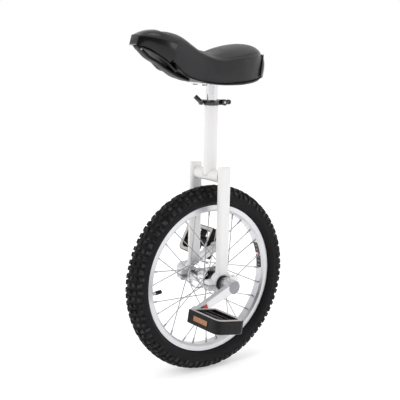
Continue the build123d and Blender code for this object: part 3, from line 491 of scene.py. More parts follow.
def casing_point(lean, lift):
    """Place across and radius on the carcass, lifted towards the top of the knobs."""
    across = (CASING[0] + TREAD_LIFT[0] * lift) * sin(lean)
    return across, CASING_MIDDLE + (CASING[1] + TREAD_LIFT[1] * lift) * cos(lean)


def carcass():
    """The plain tyre under its knobs, with moulded lines round the walls."""
    wall = [(across * MM, radius * MM) for across, radius in SIDEWALL]
    crown = [casing_point(radians(lean), 0.0) for lean in range(88, -1, -8)]
    half = wall + crown
    inner = [(across * MM, radius * MM) for across, radius in INNER_WALL]
    loop = half + [(-across, radius) for across, radius in reversed(half[:-1])]
    loop += [(-across, radius) for across, radius in reversed(inner)] + inner[1:]
    return ring_skin([[wheel_point(across, radius, tau * step / CASING_STEPS) for across, radius in loop]
                      for step in range(CASING_STEPS)])


def knob(turn, length, lean_start, lean_end, reach=1.0):
    """One tread block: upright flanks, a rounded shoulder and a curved top."""
    rows = []
    for lift, inset in ((-0.12, 0.0), (0.72, 0.25), (reach, 0.85)):
        trim = radians(inset * 2.6)
        half = length / 2 - inset * MM / TYRE_RADIUS
        start, end = radians(lean_start) + trim, radians(lean_end) - trim
        middle = (start + end) / 2
        corners = [(start, -half), (middle, -half), (end, -half), (end, half), (middle, half), (start, half)]
        rows.append([wheel_point(*casing_point(lean, lift), turn + shift) for lean, shift in corners])
    points, faces = skin(rows, caps=False)
    faces += [(5, 4, 1, 0), (4, 3, 2, 1), (12, 13, 16, 17), (13, 14, 15, 16)]
    return points, faces


def tread():
    """Staggered rows of knobs: a paired and a single centre row, shoulders and side lugs."""
    pitch = tau / PITCHES
    blocks = []
    for step in range(PITCHES):
        turn = step * pitch
        if step % 2:
            blocks.append(knob(turn, 0.62 * pitch, -9.5, 9.5))
            for side in (-1, 1):
                blocks.append(knob(turn + 0.1 * pitch, 0.60 * pitch, *sorted((side * 22.0, side * 38.5))))
                blocks.append(knob(turn, 0.66 * pitch, *sorted((side * 50.0, side * 74.0)), 0.95))
        else:
            for side in (-1, 1):
                blocks.append(knob(turn, 0.56 * pitch, *sorted((side * 4.0, side * 18.5))))
                blocks.append(knob(turn - 0.05 * pitch, 0.64 * pitch, *sorted((side * 30.0, side * 46.0))))
                blocks.append(knob(turn, 0.50 * pitch, *sorted((side * 55.0, side * 84.0)), 0.85))
    return together(*blocks)


def knobbly_tyre():
    made = shaped("knobbly_tyre", together(carcass(), tread()), FINISHES["tyre_rubber"], 32)
    fitted(made, "wheel", "tyre_rubber", "tyre")


knobbly_tyre()


# ================= saddle shape
# place, half width, skirt, seam and crown heights from the tail to the front of the cushion
CUSHION = [
    (-119.0, 14.0, 639.0, 664.0, 678.0),
    (-114.0, 25.5, 636.5, 669.0, 685.5),
    (-104.0, 38.0, 633.5, 673.0, 692.0),
    (-90.0, 53.0, 630.5, 675.0, 697.5),
    (-72.0, 67.0, 627.5, 675.0, 699.6),
    (-50.0, 74.5, 624.0, 673.5, 697.0),
    (-25.0, 74.0, 621.0, 671.0, 690.0),
    (15.0, 60.5, 618.5, 666.0, 676.8),
    (50.0, 47.5, 622.0, 672.5, 688.0),
    (90.0, 40.5, 634.5, 689.0, 714.5),
    (118.0, 37.0, 659.0, 700.5, 722.0),
    (132.0, 35.2, 676.0, 703.8, 722.1),
    (146.0, 32.0, 690.0, 706.0, 721.9),
    (153.0, 29.5, 695.0, 706.0, 721.2),
]
# the base shell's lowest height at each of those places
PAN_FLOOR = [636.0, 633.0, 629.5, 626.0, 622.0, 618.5, 616.0, 615.8, 621.5, 636.5, 652.0, 662.0, 672.0, 680.0]
cushion_places = [station[0] for station in CUSHION]
TAIL, FRONT = cushion_places[0], cushion_places[-1]
SEAM_SHARE = 0.45


def cushion_at(place):
    """Half width, skirt, seam and crown at one place along the saddle."""
    return [run_between(cushion_places, [station[k] for station in CUSHION], place) for k in range(1, 5)]


def cushion_half(place, steps, inset=0.0):
    """Points from the skirt's edge up the wall, over the seam and across to the middle of the crown."""
    half_width, skirt, seam, crown = cushion_at(place)
    half_width -= inset
    seam -= inset
    crown -= inset
    edge = max(0.0, min(1.0, (45.0 - place) / 60.0))
    points = []
    for step in range(steps + 1):
        share = step / steps
        if share < SEAM_SHARE:
            rise = share / SEAM_SHARE
            bulge = 1 - 0.055 * (1 - rise) ** 2 - 0.02 * rise ** 3
            points.append((half_width * bulge, skirt + (seam - skirt) * rise))
        else:
            over = (share - SEAM_SHARE) / (1 - SEAM_SHARE) * pi / 2
            sharp = 0.98 * cos(over) ** (1.0 - 0.12 * edge)
            points.append((half_width * sharp, seam + (crown - seam) * sin(over) ** (1.0 + 0.25 * edge)))
    return points


def cushion_row(place, steps, inset=0.0, shrink=1.0):
    """One open cross-section of the cushion from skirt to skirt."""
    half = cushion_half(place, steps, inset)
    height = (half[0][1] + half[-1][1]) / 2
    whole = half + [(-across, up) for across, up in reversed(half[:-1])]
    return [Vector((place, across * shrink, height + (up - height) * shrink)) * MM for across, up in whole]


# ================= cushion
CUSHION_STEPS = 22
CUSHION_LENGTHS = 68
SIMULATION_FRAMES = 20
CLOTH_SIZE = 5 * MM
SWELL_LIMIT = 3.0 * MM


def cushion_rows(inset):
    """Cross-sections from the rounded tail to the front edge."""
    rows = []
    for back, shrink in ((1.6, 0.72), (1.1, 0.88), (0.4, 0.965)):
        rounded = cushion_row(TAIL + inset, CUSHION_STEPS, inset, shrink)
        rows.append([point + Vector((-back * MM, 0, 0)) for point in rounded])
    for k in range(CUSHION_LENGTHS + 1):
        place = TAIL + inset + k * (FRONT - TAIL - 2 * inset) / CUSHION_LENGTHS
        rows.append(cushion_row(place, CUSHION_STEPS, inset))
    return rows


def swollen_surface(shape):
    """Let air pressure swell a cloth copy of a closed shape, and return its surface for measuring."""
    source = shaped("cushion_source", shape, FINISHES["foam"])
    remesh = source.modifiers.new("even_cloth", "REMESH")
    remesh.mode = "VOXEL"
    remesh.voxel_size = CLOTH_SIZE
    ready = source.evaluated_get(bpy.context.evaluated_depsgraph_get())
    mesh = bpy.data.meshes.new_from_object(ready)
    pad = bpy.data.objects.new("cushion_cloth", mesh)
    bpy.context.scene.collection.objects.link(pad)
    pinned = pad.vertex_groups.new(name="pinned")
    start = [vertex.co.copy() for vertex in mesh.vertices]
    floor = [point.z < cushion_at(point.x / MM)[1] * MM + 9 * MM for point in start]
    pinned.add([index for index, low in enumerate(floor) if low], 1.0, "REPLACE")
    cloth = pad.modifiers.new("cloth", "CLOTH")
    cloth.settings.quality = 6
    cloth.settings.mass = 0.3
    cloth.settings.tension_stiffness = 25
    cloth.settings.compression_stiffness = 25
    cloth.settings.bending_stiffness = 1.0
    cloth.settings.use_pressure = True
    cloth.settings.uniform_pressure_force = 4.0
    cloth.settings.vertex_group_mass = "pinned"
    cloth.settings.effector_weights.gravity = 0.0
    cloth.point_cache.frame_start = 1
    cloth.point_cache.frame_end = SIMULATION_FRAMES
    for step in range(1, SIMULATION_FRAMES + 1):
        bpy.context.scene.frame_set(step)
    settled = pad.evaluated_get(bpy.context.evaluated_depsgraph_get()).to_mesh()
    swollen = []
    for before, vertex in zip(start, settled.vertices):
        move = vertex.co - before
        if move.length > 2 * SWELL_LIMIT:
            move *= 2 * SWELL_LIMIT / move.length
        swollen.append(before + move)
    polygons = [tuple(face.vertices) for face in mesh.polygons]
    bpy.context.scene.frame_set(1)
    bpy.data.objects.remove(pad)
    bpy.data.objects.remove(source)
    return BVHTree.FromPolygons(swollen, polygons)


def drawn_to(rows, surface, limit):
    """Move every point of the rows onto a measured surface, but no further than a limit."""
    drawn = []
    for row in rows:
        line = []
        for point in row:
            found = surface.find_nearest(point)[0]
            move = found - point
            if move.length > limit:
                move *= limit / move.length
            line.append(point + move)
        drawn.append(line)
    return drawn


def seam_groove(rows):
    """Press a sewn groove into the rows where the top panel meets the wall, fading towards the front."""
    pressed = []
    seam = round(SEAM_SHARE * CUSHION_STEPS)
    for row in rows:
        fade = max(0.0, min(1.0, (0.055 - row[0].x) / 0.05))
        line = list(row)
        for step, depth in ((1, 0.3), (2, 2.3), (3, 1.2)):
            for column in (seam + step, 2 * CUSHION_STEPS - seam - step):
                inward = (Vector((line[column].x * 0.9, 0, 0.655)) - line[column]).normalized()
                line[column] = line[column] + inward * (depth * MM * fade)
        pressed.append(line)
    return pressed


def tucked_under(rows):
    """Close the rows underneath: a folded hem, then up into a shallow hollow over the base shell."""
    closed = []
    for row in rows:
        left, right = row[0], row[-1]
        fold = min(6.0 * MM, 0.3 * abs(left.y))
        hem = [Vector((right.x, right.y + 0.4 * fold, right.z - 0.6 * MM)),
               Vector((right.x, right.y + fold, right.z + 0.8 * MM)),
               Vector((right.x, right.y + 1.1 * fold, right.z + 9 * MM)),
               Vector((left.x, left.y - 1.1 * fold, left.z + 9 * MM)),
               Vector((left.x, left.y - fold, left.z + 0.8 * MM)),
               Vector((left.x, left.y - 0.4 * fold, left.z - 0.6 * MM))]
        closed.append(row + hem)
    return closed


def cushion():
    rows = cushion_rows(0.0)
    surface = swollen_surface(skin(cushion_rows(2.5)))
    rows = drawn_to(rows, surface, SWELL_LIMIT)
    rows = tucked_under(seam_groove(rows))
    made = shaped("saddle_cushion", skin(rows), FINISHES["saddle_vinyl"], 180)
    fitted(made, "seat", "saddle_vinyl", "saddle_cover", "saddle_foam", levels=1)


cushion()


# ================= base shell
PAN_TAIL, PAN_LENGTH, PAN_LENGTHS = -117.5, 233.0, 48


def base_shell():
    """The plastic pan: a shallow dish whose rolled edge meets the hem of the cover."""
    rows = []
    for k in range(PAN_LENGTHS + 1):
        place = PAN_TAIL + k * PAN_LENGTH / PAN_LENGTHS
        half_width, skirt = cushion_at(place)[:2]
        floor = run_between(cushion_places, PAN_FLOOR, place)
        rim = half_width * 0.945 - 1.2
        inner = rim - 3.0
        top = skirt + 0.3
        deep = max(1.5, top - floor)
        section = [(inner, top + 1.0), (rim, top), (rim - 0.4, top - 0.4 * deep),
                   (rim - 3.5, floor + 0.18 * deep), (rim - 9.0, floor), (0.0, floor)]
        under = section + [(-across, up) for across, up in reversed(section[:-1])]
        upper = [(-inner + 1.5, top - 0.1), (-inner + 6.0, floor + 2.6), (inner - 6.0, floor + 2.6),
                 (inner - 1.5, top - 0.1)]
        rows.append([Vector((place, across, up)) * MM for across, up in under + upper])
    made = shaped("saddle_base_shell", skin(rows), FINISHES["black_plastic"], 35)
    fitted(made, "seat", "black_plastic", "saddle_pan")


base_shell()


# ================= front bumper
# place, half width, lower edge, crease and crown heights
NOSE = [
    (114.0, 38.2, 650.0, 702.0, 721.9),
    (131.0, 36.6, 661.5, 706.0, 722.8),
    (142.0, 34.8, 669.5, 708.5, 723.3),
    (154.0, 31.6, 677.0, 710.0, 723.2),
    (166.0, 27.5, 684.5, 711.3, 721.6),
    (178.0, 22.5, 690.0, 712.3, 718.4),
    (188.0, 17.5, 692.3, 712.3, 715.0),
    (193.0, 14.5, 693.0, 711.8, 713.6),
]
nose_places = [station[0] for station in NOSE]
# how far round from the lower edge to the crown, and where the bumper starts there
BACK_EDGE = [(0.0, 131.0), (0.18, 120.5), (0.36, 117.5), (0.5, 116.5), (0.6, 134.0), (0.76, 142.5),
             (0.9, 146.5), (1.0, 148.0)]
CREASE = 0.5
RIDGE_WIDTH, RIDGE_HEIGHT = 0.05, 1.1
DOME_START = radians(26)
LEAN_FROM, LEAN_RUN, TIP_LEAN = 165.0, 28.0, 6.0
BUMPER_WALL = 2.6


def nose_point(place, share, inset):
    """Across and up on the bumper: an upright side wall, a crease, then a domed top."""
    half_width, low, shoulder, crown = [run_between(nose_places, [station[k] for station in NOSE], place)
                                        for k in range(1, 5)]
    half_width -= inset
    shoulder -= inset
    crown -= inset
    if share < CREASE:
        rise = share / CREASE
        across = half_width * (0.96 + 0.04 * rise + 0.03 * sin(rise * pi))
        up = low + (shoulder - low) * rise
    else:
        over = DOME_START + (share - CREASE) / (1 - CREASE) * (pi / 2 - DOME_START)
        across = half_width * cos(over) / cos(DOME_START)
        up = shoulder + (crown - shoulder) * (sin(over) - sin(DOME_START)) / (1 - sin(DOME_START))
    if not inset:
        across += RIDGE_HEIGHT * max(0.0, 1 - abs(share - CREASE) / RIDGE_WIDTH)
    lean = TIP_LEAN * max(0.0, (place - LEAN_FROM) / LEAN_RUN) ** 2
    return Vector((place - lean * (up - low) / (crown - low), across, up)) * MM


def nose_row(forward, steps, inset, pulled=0.0):
    """One line over the bumper from lower edge to lower edge, a share of the way from its back edge."""
    half = []
    for step in range(steps + 1):
        share = step / steps
        back = run_between([around for around, x in BACK_EDGE], [x for around, x in BACK_EDGE], share)
        half.append(nose_point(back + (nose_places[-1] - pulled - back) * forward, share, inset))
    return half + [Vector((point.x, -point.y, point.z)) for point in reversed(half[:-1])]


def front_bumper():
    """The glossy shell over the nose, open underneath and behind."""
    steps, lengths = 40, 36
    outer = [nose_row(k / lengths, steps, 0.0) for k in range(lengths + 1)]
    inner = [nose_row(k / lengths, steps, BUMPER_WALL, BUMPER_WALL) for k in range(lengths + 1)]
    last = outer[lengths]
    middle = (last[0].z + last[steps].z) / 2
    for ahead, shrink in ((1.0, 0.95), (1.6, 0.84)):
        outer.append([Vector((point.x + ahead * MM, point.y * shrink, middle + (point.z - middle) * shrink))
                      for point in last])
    points, faces = two_skins(outer, inner)
    shift = len(outer) * len(outer[0])
    width = 2 * steps + 1
    outer_last, inner_last = len(outer) - 1, len(inner) - 1
    faces += [(k, k + 1, shift + k + 1, shift + k) for k in range(width - 1)]
    faces.append(tuple(outer_last * width + k for k in range(width)))
    faces.append(tuple(shift + inner_last * width + k for k in range(width)))
    for edge in (0, width - 1):
        for row in range(inner_last):
            faces.append((row * width + edge, (row + 1) * width + edge,
                          shift + (row + 1) * width + edge, shift + row * width + edge))
        faces.append((inner_last * width + edge, outer_last * width + edge,
                      shift + inner_last * width + edge))
    faces.append((outer_last * width, outer_last * width + width - 1,
                  shift + inner_last * width + width - 1, shift + inner_last * width))
    made = shaped("front_bumper_shell", (points, faces), FINISHES["bumper_gloss"], 24)
    fitted(made, "seat", "bumper_gloss", "front_bumper")


front_bumper()


# place, lower face and half width of the lining that closes the bumper underneath
LINING = [(106.0, 640.0, 33.0), (118.0, 646.5, 33.5), (131.0, 659.0, 33.4), (142.0, 667.0, 31.6),
          (154.0, 674.5, 28.4), (166.0, 681.5, 24.2), (178.0, 687.0, 19.4), (187.0, 690.0, 14.6)]
# share of the half width, and height over the lower face
LINING_SECTION = [(-1.0, 3.0), (-1.0, 0.4), (-0.96, -0.8), (-0.88, -0.8), (-0.82, 1.6), (-0.45, 3.6),
                  (0.0, 4.2), (0.45, 3.6), (0.82, 1.6), (0.88, -0.8), (0.96, -0.8), (1.0, 0.4),
                  (1.0, 3.0), (0.0, 9.0)]


def nose_lining():
    """The moulded underside of the nose, arched over the finger space with a raised rim."""
    rows = []
    for x, z, width in LINING:
        rows.append([Vector((x, side * width, z + up)) * MM for side, up in LINING_SECTION])
    made = shaped("nose_lining", skin(rows), FINISHES["black_plastic"], 45)
    fitted(made, "seat", "black_plastic", levels=2)


nose_lining()


# ================= grip under the nose
# place, height and half width along the bar
GRIP = [(62.0, 623.0, 15.0), (80.0, 627.5, 15.0), (100.0, 635.0, 14.5), (116.0, 643.5, 14.0),
        (128.0, 650.5, 13.5), (137.5, 657.2, 13.0), (146.0, 662.2, 12.5), (156.0, 666.5, 12.0),
        (164.0, 671.0, 11.5), (174.0, 680.0, 11.0), (183.0, 688.0, 10.5), (189.0, 693.5, 10.0)]
GRIP_SECTION = [(-1.0, 0.0), (-0.93, -2.2), (-0.6, -2.9), (0.0, -3.1), (0.6, -2.9), (0.93, -2.2), (1.0, 0.0),
                (0.95, 2.6), (0.78, 3.0), (0.66, 1.6), (0.0, 1.3), (-0.66, 1.6), (-0.78, 3.0), (-0.95, 2.6)]


def grip():
    """The bar that the rider's fingers close round, with raised rails along both edges."""
    line = [Vector((x, 0, z)) * MM for x, z, width in GRIP]
    rows = []
    for index, (x, z, width) in enumerate(GRIP):
        before, after = line[max(0, index - 1)], line[min(len(line) - 1, index + 1)]
        heading = (after - before).normalized()
        over = Vector((-heading.z, 0, heading.x))
        rows.append([line[index] + Vector((0, side * width, 0)) * MM + over * up * MM
                     for side, up in GRIP_SECTION])
    made = shaped("front_grip_bar", skin(rows), FINISHES["black_plastic"], 180)
    fitted(made, "seat", "black_plastic", "front_handle", levels=2)


grip()


SCREW_SIDES = 20
SCREW_RADIUS = 2.0 * MM
# place, distance from the middle and height, then the way the head faces on the left
SCREWS = [((0.1815, 0.0116, 0.6860), (0.55, 0.75, 0.1)), ((0.1530, 0.0255, 0.6750), (0.3, 0.9, -0.1))]


def domed_screw(centre, facing, radius):
    """A round head with a dimple in its middle, standing on a surface."""
    facing = facing.normalized()
    across = facing.cross(Vector((0, 1, 0))).normalized()
    over = facing.cross(across)
    rows = []
    for out, up in ((1.0, -0.9), (1.0, 0.0), (0.86, 0.34), (0.5, 0.52), (0.24, 0.56), (0.16, 0.15)):
        turns = [tau * k / SCREW_SIDES for k in range(SCREW_SIDES)]
        rows.append([centre + radius * (out * (cos(turn) * across + sin(turn) * over) + up * facing)
                     for turn in turns])
    return skin(rows)


def bumper_screws():
    heads = []
    for side in (-1, 1):
        mirrored = Vector((1, side, 1))
        for place, facing in SCREWS:
            heads.append(domed_screw(Vector(place) * mirrored, Vector(facing) * mirrored, SCREW_RADIUS))
    made = shaped("grip_screws", together(*heads), FINISHES["bright_steel"], 50)
    fitted(made, "seat", "bright_steel")


bumper_screws()


# ================= rear bumper
TAIL_WIDTHS = [0.0, 14.0, 25.5, 38.0, 53.0, 67.0]
TAIL_PLACES = [-120.6, -119.3, -114.0, -104.0, -90.0, -72.0]
GUARD_REACH, GUARD_TAPER = 63.0, 20.0
GUARD_LOW, GUARD_TALL, GUARD_DIP = 629.0, 48.0, 8.0
GUARD_SUNK = -2.0


def tail_point(across, height, proud):
    """A point on the tail's outline, so far out from the cushion's wall."""
    width = abs(across)
    place = run_between(TAIL_WIDTHS, TAIL_PLACES, width)
    slope = (run_between(TAIL_WIDTHS, TAIL_PLACES, width + 0.5) - place) / 0.5
    out = Vector((-1.0, slope)).normalized()
    return Vector((place + out.x * proud, (width + out.y * proud) * (1 if across >= 0 else -1), height)) * MM


def guard_point(across, up, inset):
    """A point of the guard; the inset side is the one sunk in the cushion."""
    reach = GUARD_REACH - GUARD_TAPER * up ** 3 - inset
    height = GUARD_LOW + inset + (GUARD_TALL - 2 * inset) * up + GUARD_DIP * (1 - up) * (1 - across ** 2)
    belly = sin(pi * min(1.0, up + 0.12) ** 1.3) if up < 0.88 else 0.25
    edge = min(1.0, (1 - abs(across)) / 0.09) ** 0.5
    proud = (1.0 + 2.8 * max(0.25, belly)) * (0.35 + 0.65 * edge)
    return tail_point(across * reach, height, GUARD_SUNK if inset else proud)


def rear_bumper():
    """A glossy guard wrapped round the tail, standing proud at its middle height."""
    columns, levels = 48, 20
    outer, inner = [[[guard_point(-1 + 2 * k / columns, m / levels, inset) for m in range(levels + 1)]
                     for k in range(columns + 1)] for inset in (0.0, 1.0)]
    points, faces = two_skins(outer, inner)
    width = levels + 1
    shift = len(outer) * width
    for row in (0, columns):
        faces += [(row * width + m, row * width + m + 1, shift + row * width + m + 1, shift + row * width + m)
                  for m in range(levels)]
    for column in (0, levels):
        faces += [(row * width + column, (row + 1) * width + column,
                   shift + (row + 1) * width + column, shift + row * width + column)
                  for row in range(columns)]
    made = shaped("rear_bumper_shell", (points, faces), FINISHES["bumper_gloss"], 35)
    fitted(made, "seat", "bumper_gloss", "rear_bumper")


rear_bumper()


# ================= welds and labels
crown_low, crown_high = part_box("crown_tube")
tube_low, tube_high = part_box("seat_tube")
CROWN_HEIGHT = (crown_low.z + crown_high.z) / 2
CROWN_RADIUS = (crown_high.x - crown_low.x) / 2
TUBE_RADIUS = (tube_high.x - tube_low.x) / 2
BEAD_RIPPLE = 0.16


def welds():
    """Rippled beads where the seat tube meets the cross tube, and the cross tube meets the legs."""
    cope = []
    for k in range(96):
        angle = tau * k / 96
        x = TUBE_RADIUS * cos(angle)
        drop = sqrt(max(0.0, CROWN_RADIUS ** 2 - x ** 2))
        cope.append(Vector((x * 1.01, TUBE_RADIUS * 1.02 * sin(angle), CROWN_HEIGHT + drop + 0.4 * MM)))
    beads = [rod(cope, 1.7 * MM, 10, True, BEAD_RIPPLE, 34)]
    for side in (-1, 1):
        ring = [Vector((CROWN_RADIUS * cos(tau * k / 80), side * (crown_high.y - 0.6 * MM),
                        CROWN_HEIGHT + CROWN_RADIUS * sin(tau * k / 80))) for k in range(80)]
        beads.append(rod(ring, 1.6 * MM, 10, True, BEAD_RIPPLE, 30))
    made = shaped("weld_beads", together(*beads), FINISHES["weld_paint"], 180)
    fitted(made, "frame", "frame_paint")


welds()


def film(name, corner_rows, finish, body, slot):
    """A thin label laid over a surface, given rows of points and the way they face."""
    outer = [[point + facing * 0.12 * MM for point, facing in row] for row in corner_rows]
    under = [[point - facing * 0.10 * MM for point, facing in row] for row in corner_rows]
    rows = [upper + list(reversed(lower)) for upper, lower in zip(outer, under)]
    return fitted(shaped(name, skin(rows), finish, 50), body, slot)


def crank_frame(side):
    """Direction along a crank arm, direction across it, and the arm's length."""
    name = "left" if side > 0 else "right"
    low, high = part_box(f"pedal_end_cap_{name}")
    arm = Vector(((low.x + high.x) / 2, 0, (low.z + high.z) / 2 - AXLE_HEIGHT))
    along = arm.normalized()
    return along, Vector((-along.z, 0, along.x)), arm.length


CRANK_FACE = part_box("crank_left")[1].y
BAND_START, BAND_LENGTH, BAND_STEPS = 75.0, 8.5, 8
BAND_HALF, BAND_TAPER, BAND_COLUMNS = 5.6, 0.4, 6


def crank_labels():
    """A plain red band on the face of each arm, near the pedal."""
    for name, side in SIDES:
        along, across = crank_frame(side)[:2]
        axle = Vector((0, side * CRANK_FACE, AXLE_HEIGHT))
        facing = Vector((0, side, 0))
        rows = []
        for k in range(BAND_STEPS + 1):
            start = axle + along * (BAND_START + BAND_LENGTH * k / BAND_STEPS) * MM
            half = (BAND_HALF - BAND_TAPER * k / BAND_STEPS) * MM / BAND_COLUMNS
            rows.append([(start + across * half * m, facing) for m in range(-BAND_COLUMNS, BAND_COLUMNS + 1)])
        film(f"crank_band_{name}", rows, FINISHES["red_label"], "wheel", "crank_cover_grey")


crank_labels()


SPOKE_COUNT = 28
LABEL_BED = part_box("rim")[1].x - 14.0 * MM
LABEL_STEPS, LABEL_FILL, LABEL_COLUMN = 12, 0.86, 1.9 * MM


def rim_labels():
    """Two plain striped labels on the rim's inner face, between spoke holes."""
    for number, middle in enumerate((12.5, 13.5)):
        rows = []
        for k in range(LABEL_STEPS + 1):
            turn = (middle + (k / LABEL_STEPS - 0.5) * LABEL_FILL) * tau / SPOKE_COUNT
            facing = -Vector((cos(turn), 0, sin(turn)))
            rows.append([(wheel_point(m * LABEL_COLUMN, LABEL_BED, turn), facing) for m in range(-4, 5)])
        film(f"rim_label_{number + 1}", rows, FINISHES["striped_label"], "wheel", "seal_rubber")


rim_labels()


# ================= pedals
# outward places are measured from the middle of the wheel, the others from the spindle
PEDAL_PITCH = {"left": 9.0, "right": 117.0}
PEDAL_INNER, PEDAL_OUTER = 108.0, 205.0
PEDAL_HALF_DEPTH = 35.7
BODY_HALF_HEIGHT = 13.3
BARREL = (108.2, 109.2, 140, 170, 202.6, 203.6)
BARREL_RADIUS = 9.8 * MM
TREAD_LOW, TREAD_HIGH = 12.2, 13.8
PIP_FIRST, PIP_SPACING, PIP_LENGTH, PIP_COUNT = 114.0, 6.1, 2.6, 12
REFLECTOR_FACE, REFLECTOR_MIDDLE = 35.3, 150.0
REFLECTOR_HALF = (22.6, 5.6)


def pedal_axes(name, side):
    """The pedal's middle, its fore direction, its outward direction and its up direction."""
    along, across, length = crank_frame(side)
    eye = Vector((0, 0, AXLE_HEIGHT)) + along * length
    pitch = radians(PEDAL_PITCH[name])
    fore = Vector((cos(pitch), 0, sin(pitch)))
    outward = Vector((0, side, 0))
    return eye, fore, outward, Vector((-fore.z, 0, fore.x))


def pedal_loop(half, inner, outer, corner):
    """A closed outline seen from above: square at the crank, swept round at the far corners."""
    deep = corner + 3
    points = [(half - 1.5, inner), (half, inner + 1.5), (half, (inner + outer) / 2), (half, outer - deep)]
    for k in range(1, 8):
        turn = k / 8 * pi / 2
        points.append((half - corner + corner * cos(turn) ** 0.8, outer - deep + deep * sin(turn) ** 0.8))
    points.append((half - corner, outer))
    return points + [(-across, along) for across, along in reversed(points)]


def pedal_ring(axes, band, low, high, edge):
    """A frame with rounded edges between an outer and an inner outline."""
    eye, fore, outward, upward = axes
    rows = []
    for (outer_x, outer_y), (inner_x, inner_y) in zip(*band):
        gap = Vector((inner_x - outer_x, inner_y - outer_y))
        near = gap.normalized() * edge
        far = gap - near
        section = [(0, 0, low + edge), (near.x, near.y, low), (far.x, far.y, low), (gap.x, gap.y, low + edge),
                   (gap.x, gap.y, high - edge), (far.x, far.y, high), (near.x, near.y, high),
                   (0, 0, high - edge)]
        rows.append([eye + ((outer_x + x) * fore + (outer_y + y) * outward + z * upward) * MM
                     for x, y, z in section])
    return ring_skin(rows)


def block(axes, start, end, low, high, taper=0.0):
    """A small moulded block between two plan corners, drawn in towards its top."""
    eye, fore, outward, upward = axes
    rows = []
    for z, inset in ((low, 0.0), (low + 0.8 * (high - low), taper * 0.4), (high, taper)):
        corners = [(start[0] + inset, start[1] + inset), (end[0] - inset, start[1] + inset),
                   (end[0] - inset, end[1] - inset), (start[0] + inset, end[1] - inset)]
        rows.append([eye + (x * fore + y * outward + z * upward) * MM for x, y in corners])
    return skin(rows)


def pedal_body(name, axes):
    """The black moulding: walls, barrel, and a web and a rail on either side of it."""
    eye, fore, outward, upward = axes
    band = (pedal_loop(PEDAL_HALF_DEPTH - 0.5, PEDAL_INNER, PEDAL_OUTER - 0.5, 15),
            pedal_loop(PEDAL_HALF_DEPTH - 9.5, PEDAL_INNER + 6, PEDAL_OUTER - 11, 10))
    parts = [pedal_ring(axes, band, -BODY_HALF_HEIGHT, BODY_HALF_HEIGHT, 1.1),
             rod([eye + outward * reach * MM for reach in BARREL], BARREL_RADIUS, 32)]
    for end in (-1, 1):
        near, far = sorted((end * 9.0, end * 27.0))
        parts.append(block(axes, (near, 150.6), (far, 153.4), -9.0, 9.0, 0.3))
        near, far = sorted((end * 8.8, end * 11.6))
        parts.append(block(axes, (near, 113.0), (far, 196.0), -11.0, 11.0, 0.4))
    made = shaped(f"pedal_moulding_{name}", together(*parts), FINISHES["black_plastic"], 35)
    fitted(made, f"pedal_{name}", "black_plastic", f"pedal_body_{name}")


def pedal_treads(name, axes):
    """Pale frames above and below, each with two rows of raised pips."""
    eye, fore, outward, upward = axes
    band = (pedal_loop(PEDAL_HALF_DEPTH - 2.2, PEDAL_INNER + 1.2, PEDAL_OUTER - 2.2, 14),
            pedal_loop(PEDAL_HALF_DEPTH - 9, PEDAL_INNER + 6, PEDAL_OUTER - 10.5, 10))
    parts = []
    for face in (1, -1):
        parts.append(pedal_ring(axes, band, *sorted((face * TREAD_LOW, face * TREAD_HIGH)), 0.5))
        flipped = (eye, fore, outward, upward * face)
        for end in (-1, 1):
            near, far = sorted((end * 28.0, end * 33.6))
            for k in range(PIP_COUNT):
                reach = PIP_FIRST + k * PIP_SPACING
                parts.append(block(flipped, (near, reach), (far, reach + PIP_LENGTH), 13.5, 14.2, 0.35))
    made = shaped(f"pedal_tread_frames_{name}", together(*parts), FINISHES["tread_grey"], 35)
    fitted(made, f"pedal_{name}", "tread_grey", f"pedal_treads_{name}")


def reflector_frames(name, axes):
    """A thin raised border round each reflector."""
    eye, fore, outward, upward = axes
    wide, tall = REFLECTOR_HALF
    borders = []
    for end in (-1, 1):
        loop = []
        for y, z in ((-wide, -tall), (wide, -tall), (wide, tall), (-wide, tall)):
            place = end * REFLECTOR_FACE * fore + (REFLECTOR_MIDDLE + y) * outward + z * upward
            loop.append(eye + place * MM)
        path = [loop[k // 8].lerp(loop[(k // 8 + 1) % 4], (k % 8) / 8) for k in range(32)]
        borders.append(rod(path, 0.8 * MM, 8, True))
    made = shaped(f"reflector_frames_{name}", together(*borders), FINISHES["black_plastic"], 60)
    fitted(made, f"pedal_{name}", "black_plastic")


for pedal_name, pedal_side in SIDES:
    pedal_place = pedal_axes(pedal_name, pedal_side)
    pedal_body(pedal_name, pedal_place)
    pedal_treads(pedal_name, pedal_place)
    reflector_frames(pedal_name, pedal_place)


# ================= finishes on the frame's own pieces
FINISH_OF = {"rim": "rim", "crank_left": "arm", "crank_right": "arm"}
ROUNDED = {
    "leg_caps": 0.5, "bearing_housing_left": 0.9, "bearing_housing_right": 0.9, "bearing_cap_left": 0.8,
    "bearing_cap_right": 0.8, "crank_left": 0.7, "crank_right": 0.7, "seat_collar": 0.6, "clamp_lever": 0.8,
    "clamp_nut": 0.7, "holder_bolts": 0.4, "saddle_bolts": 0.4, "post_plate": 0.7, "hub_shell": 0.35,
    "valve_cap": 0.7, "crank_covers": 0.3, "pedal_nuts": 0.3, "holder_washers": 0.15,
    "pedal_reflectors_left": 0.3, "pedal_reflectors_right": 0.3,
}


def finish_frame_pieces():
    """Give every node of the frame its slot's finish, and soften the edges that are seen."""
    for part in frame["record"]["subparts"]:
        node = frame["nodes"][part["node"]]
        node.data.materials.clear()
        node.data.materials.append(FINISHES[FINISH_OF.get(part["node"], part["material_slot"])])
        rounding = ROUNDED.get(part["node"], 0.0)
        if rounding:
            weld = node.modifiers.new("joined_corners", "WELD")
            weld.merge_threshold = 0.00001
            edge = node.modifiers.new("rounded_edges", "BEVEL")
            edge.width = rounding * MM
            edge.segments = 2
            edge.limit_method = "ANGLE"
            edge.angle_limit = radians(40)
            edge.harden_normals = True


finish_frame_pieces()


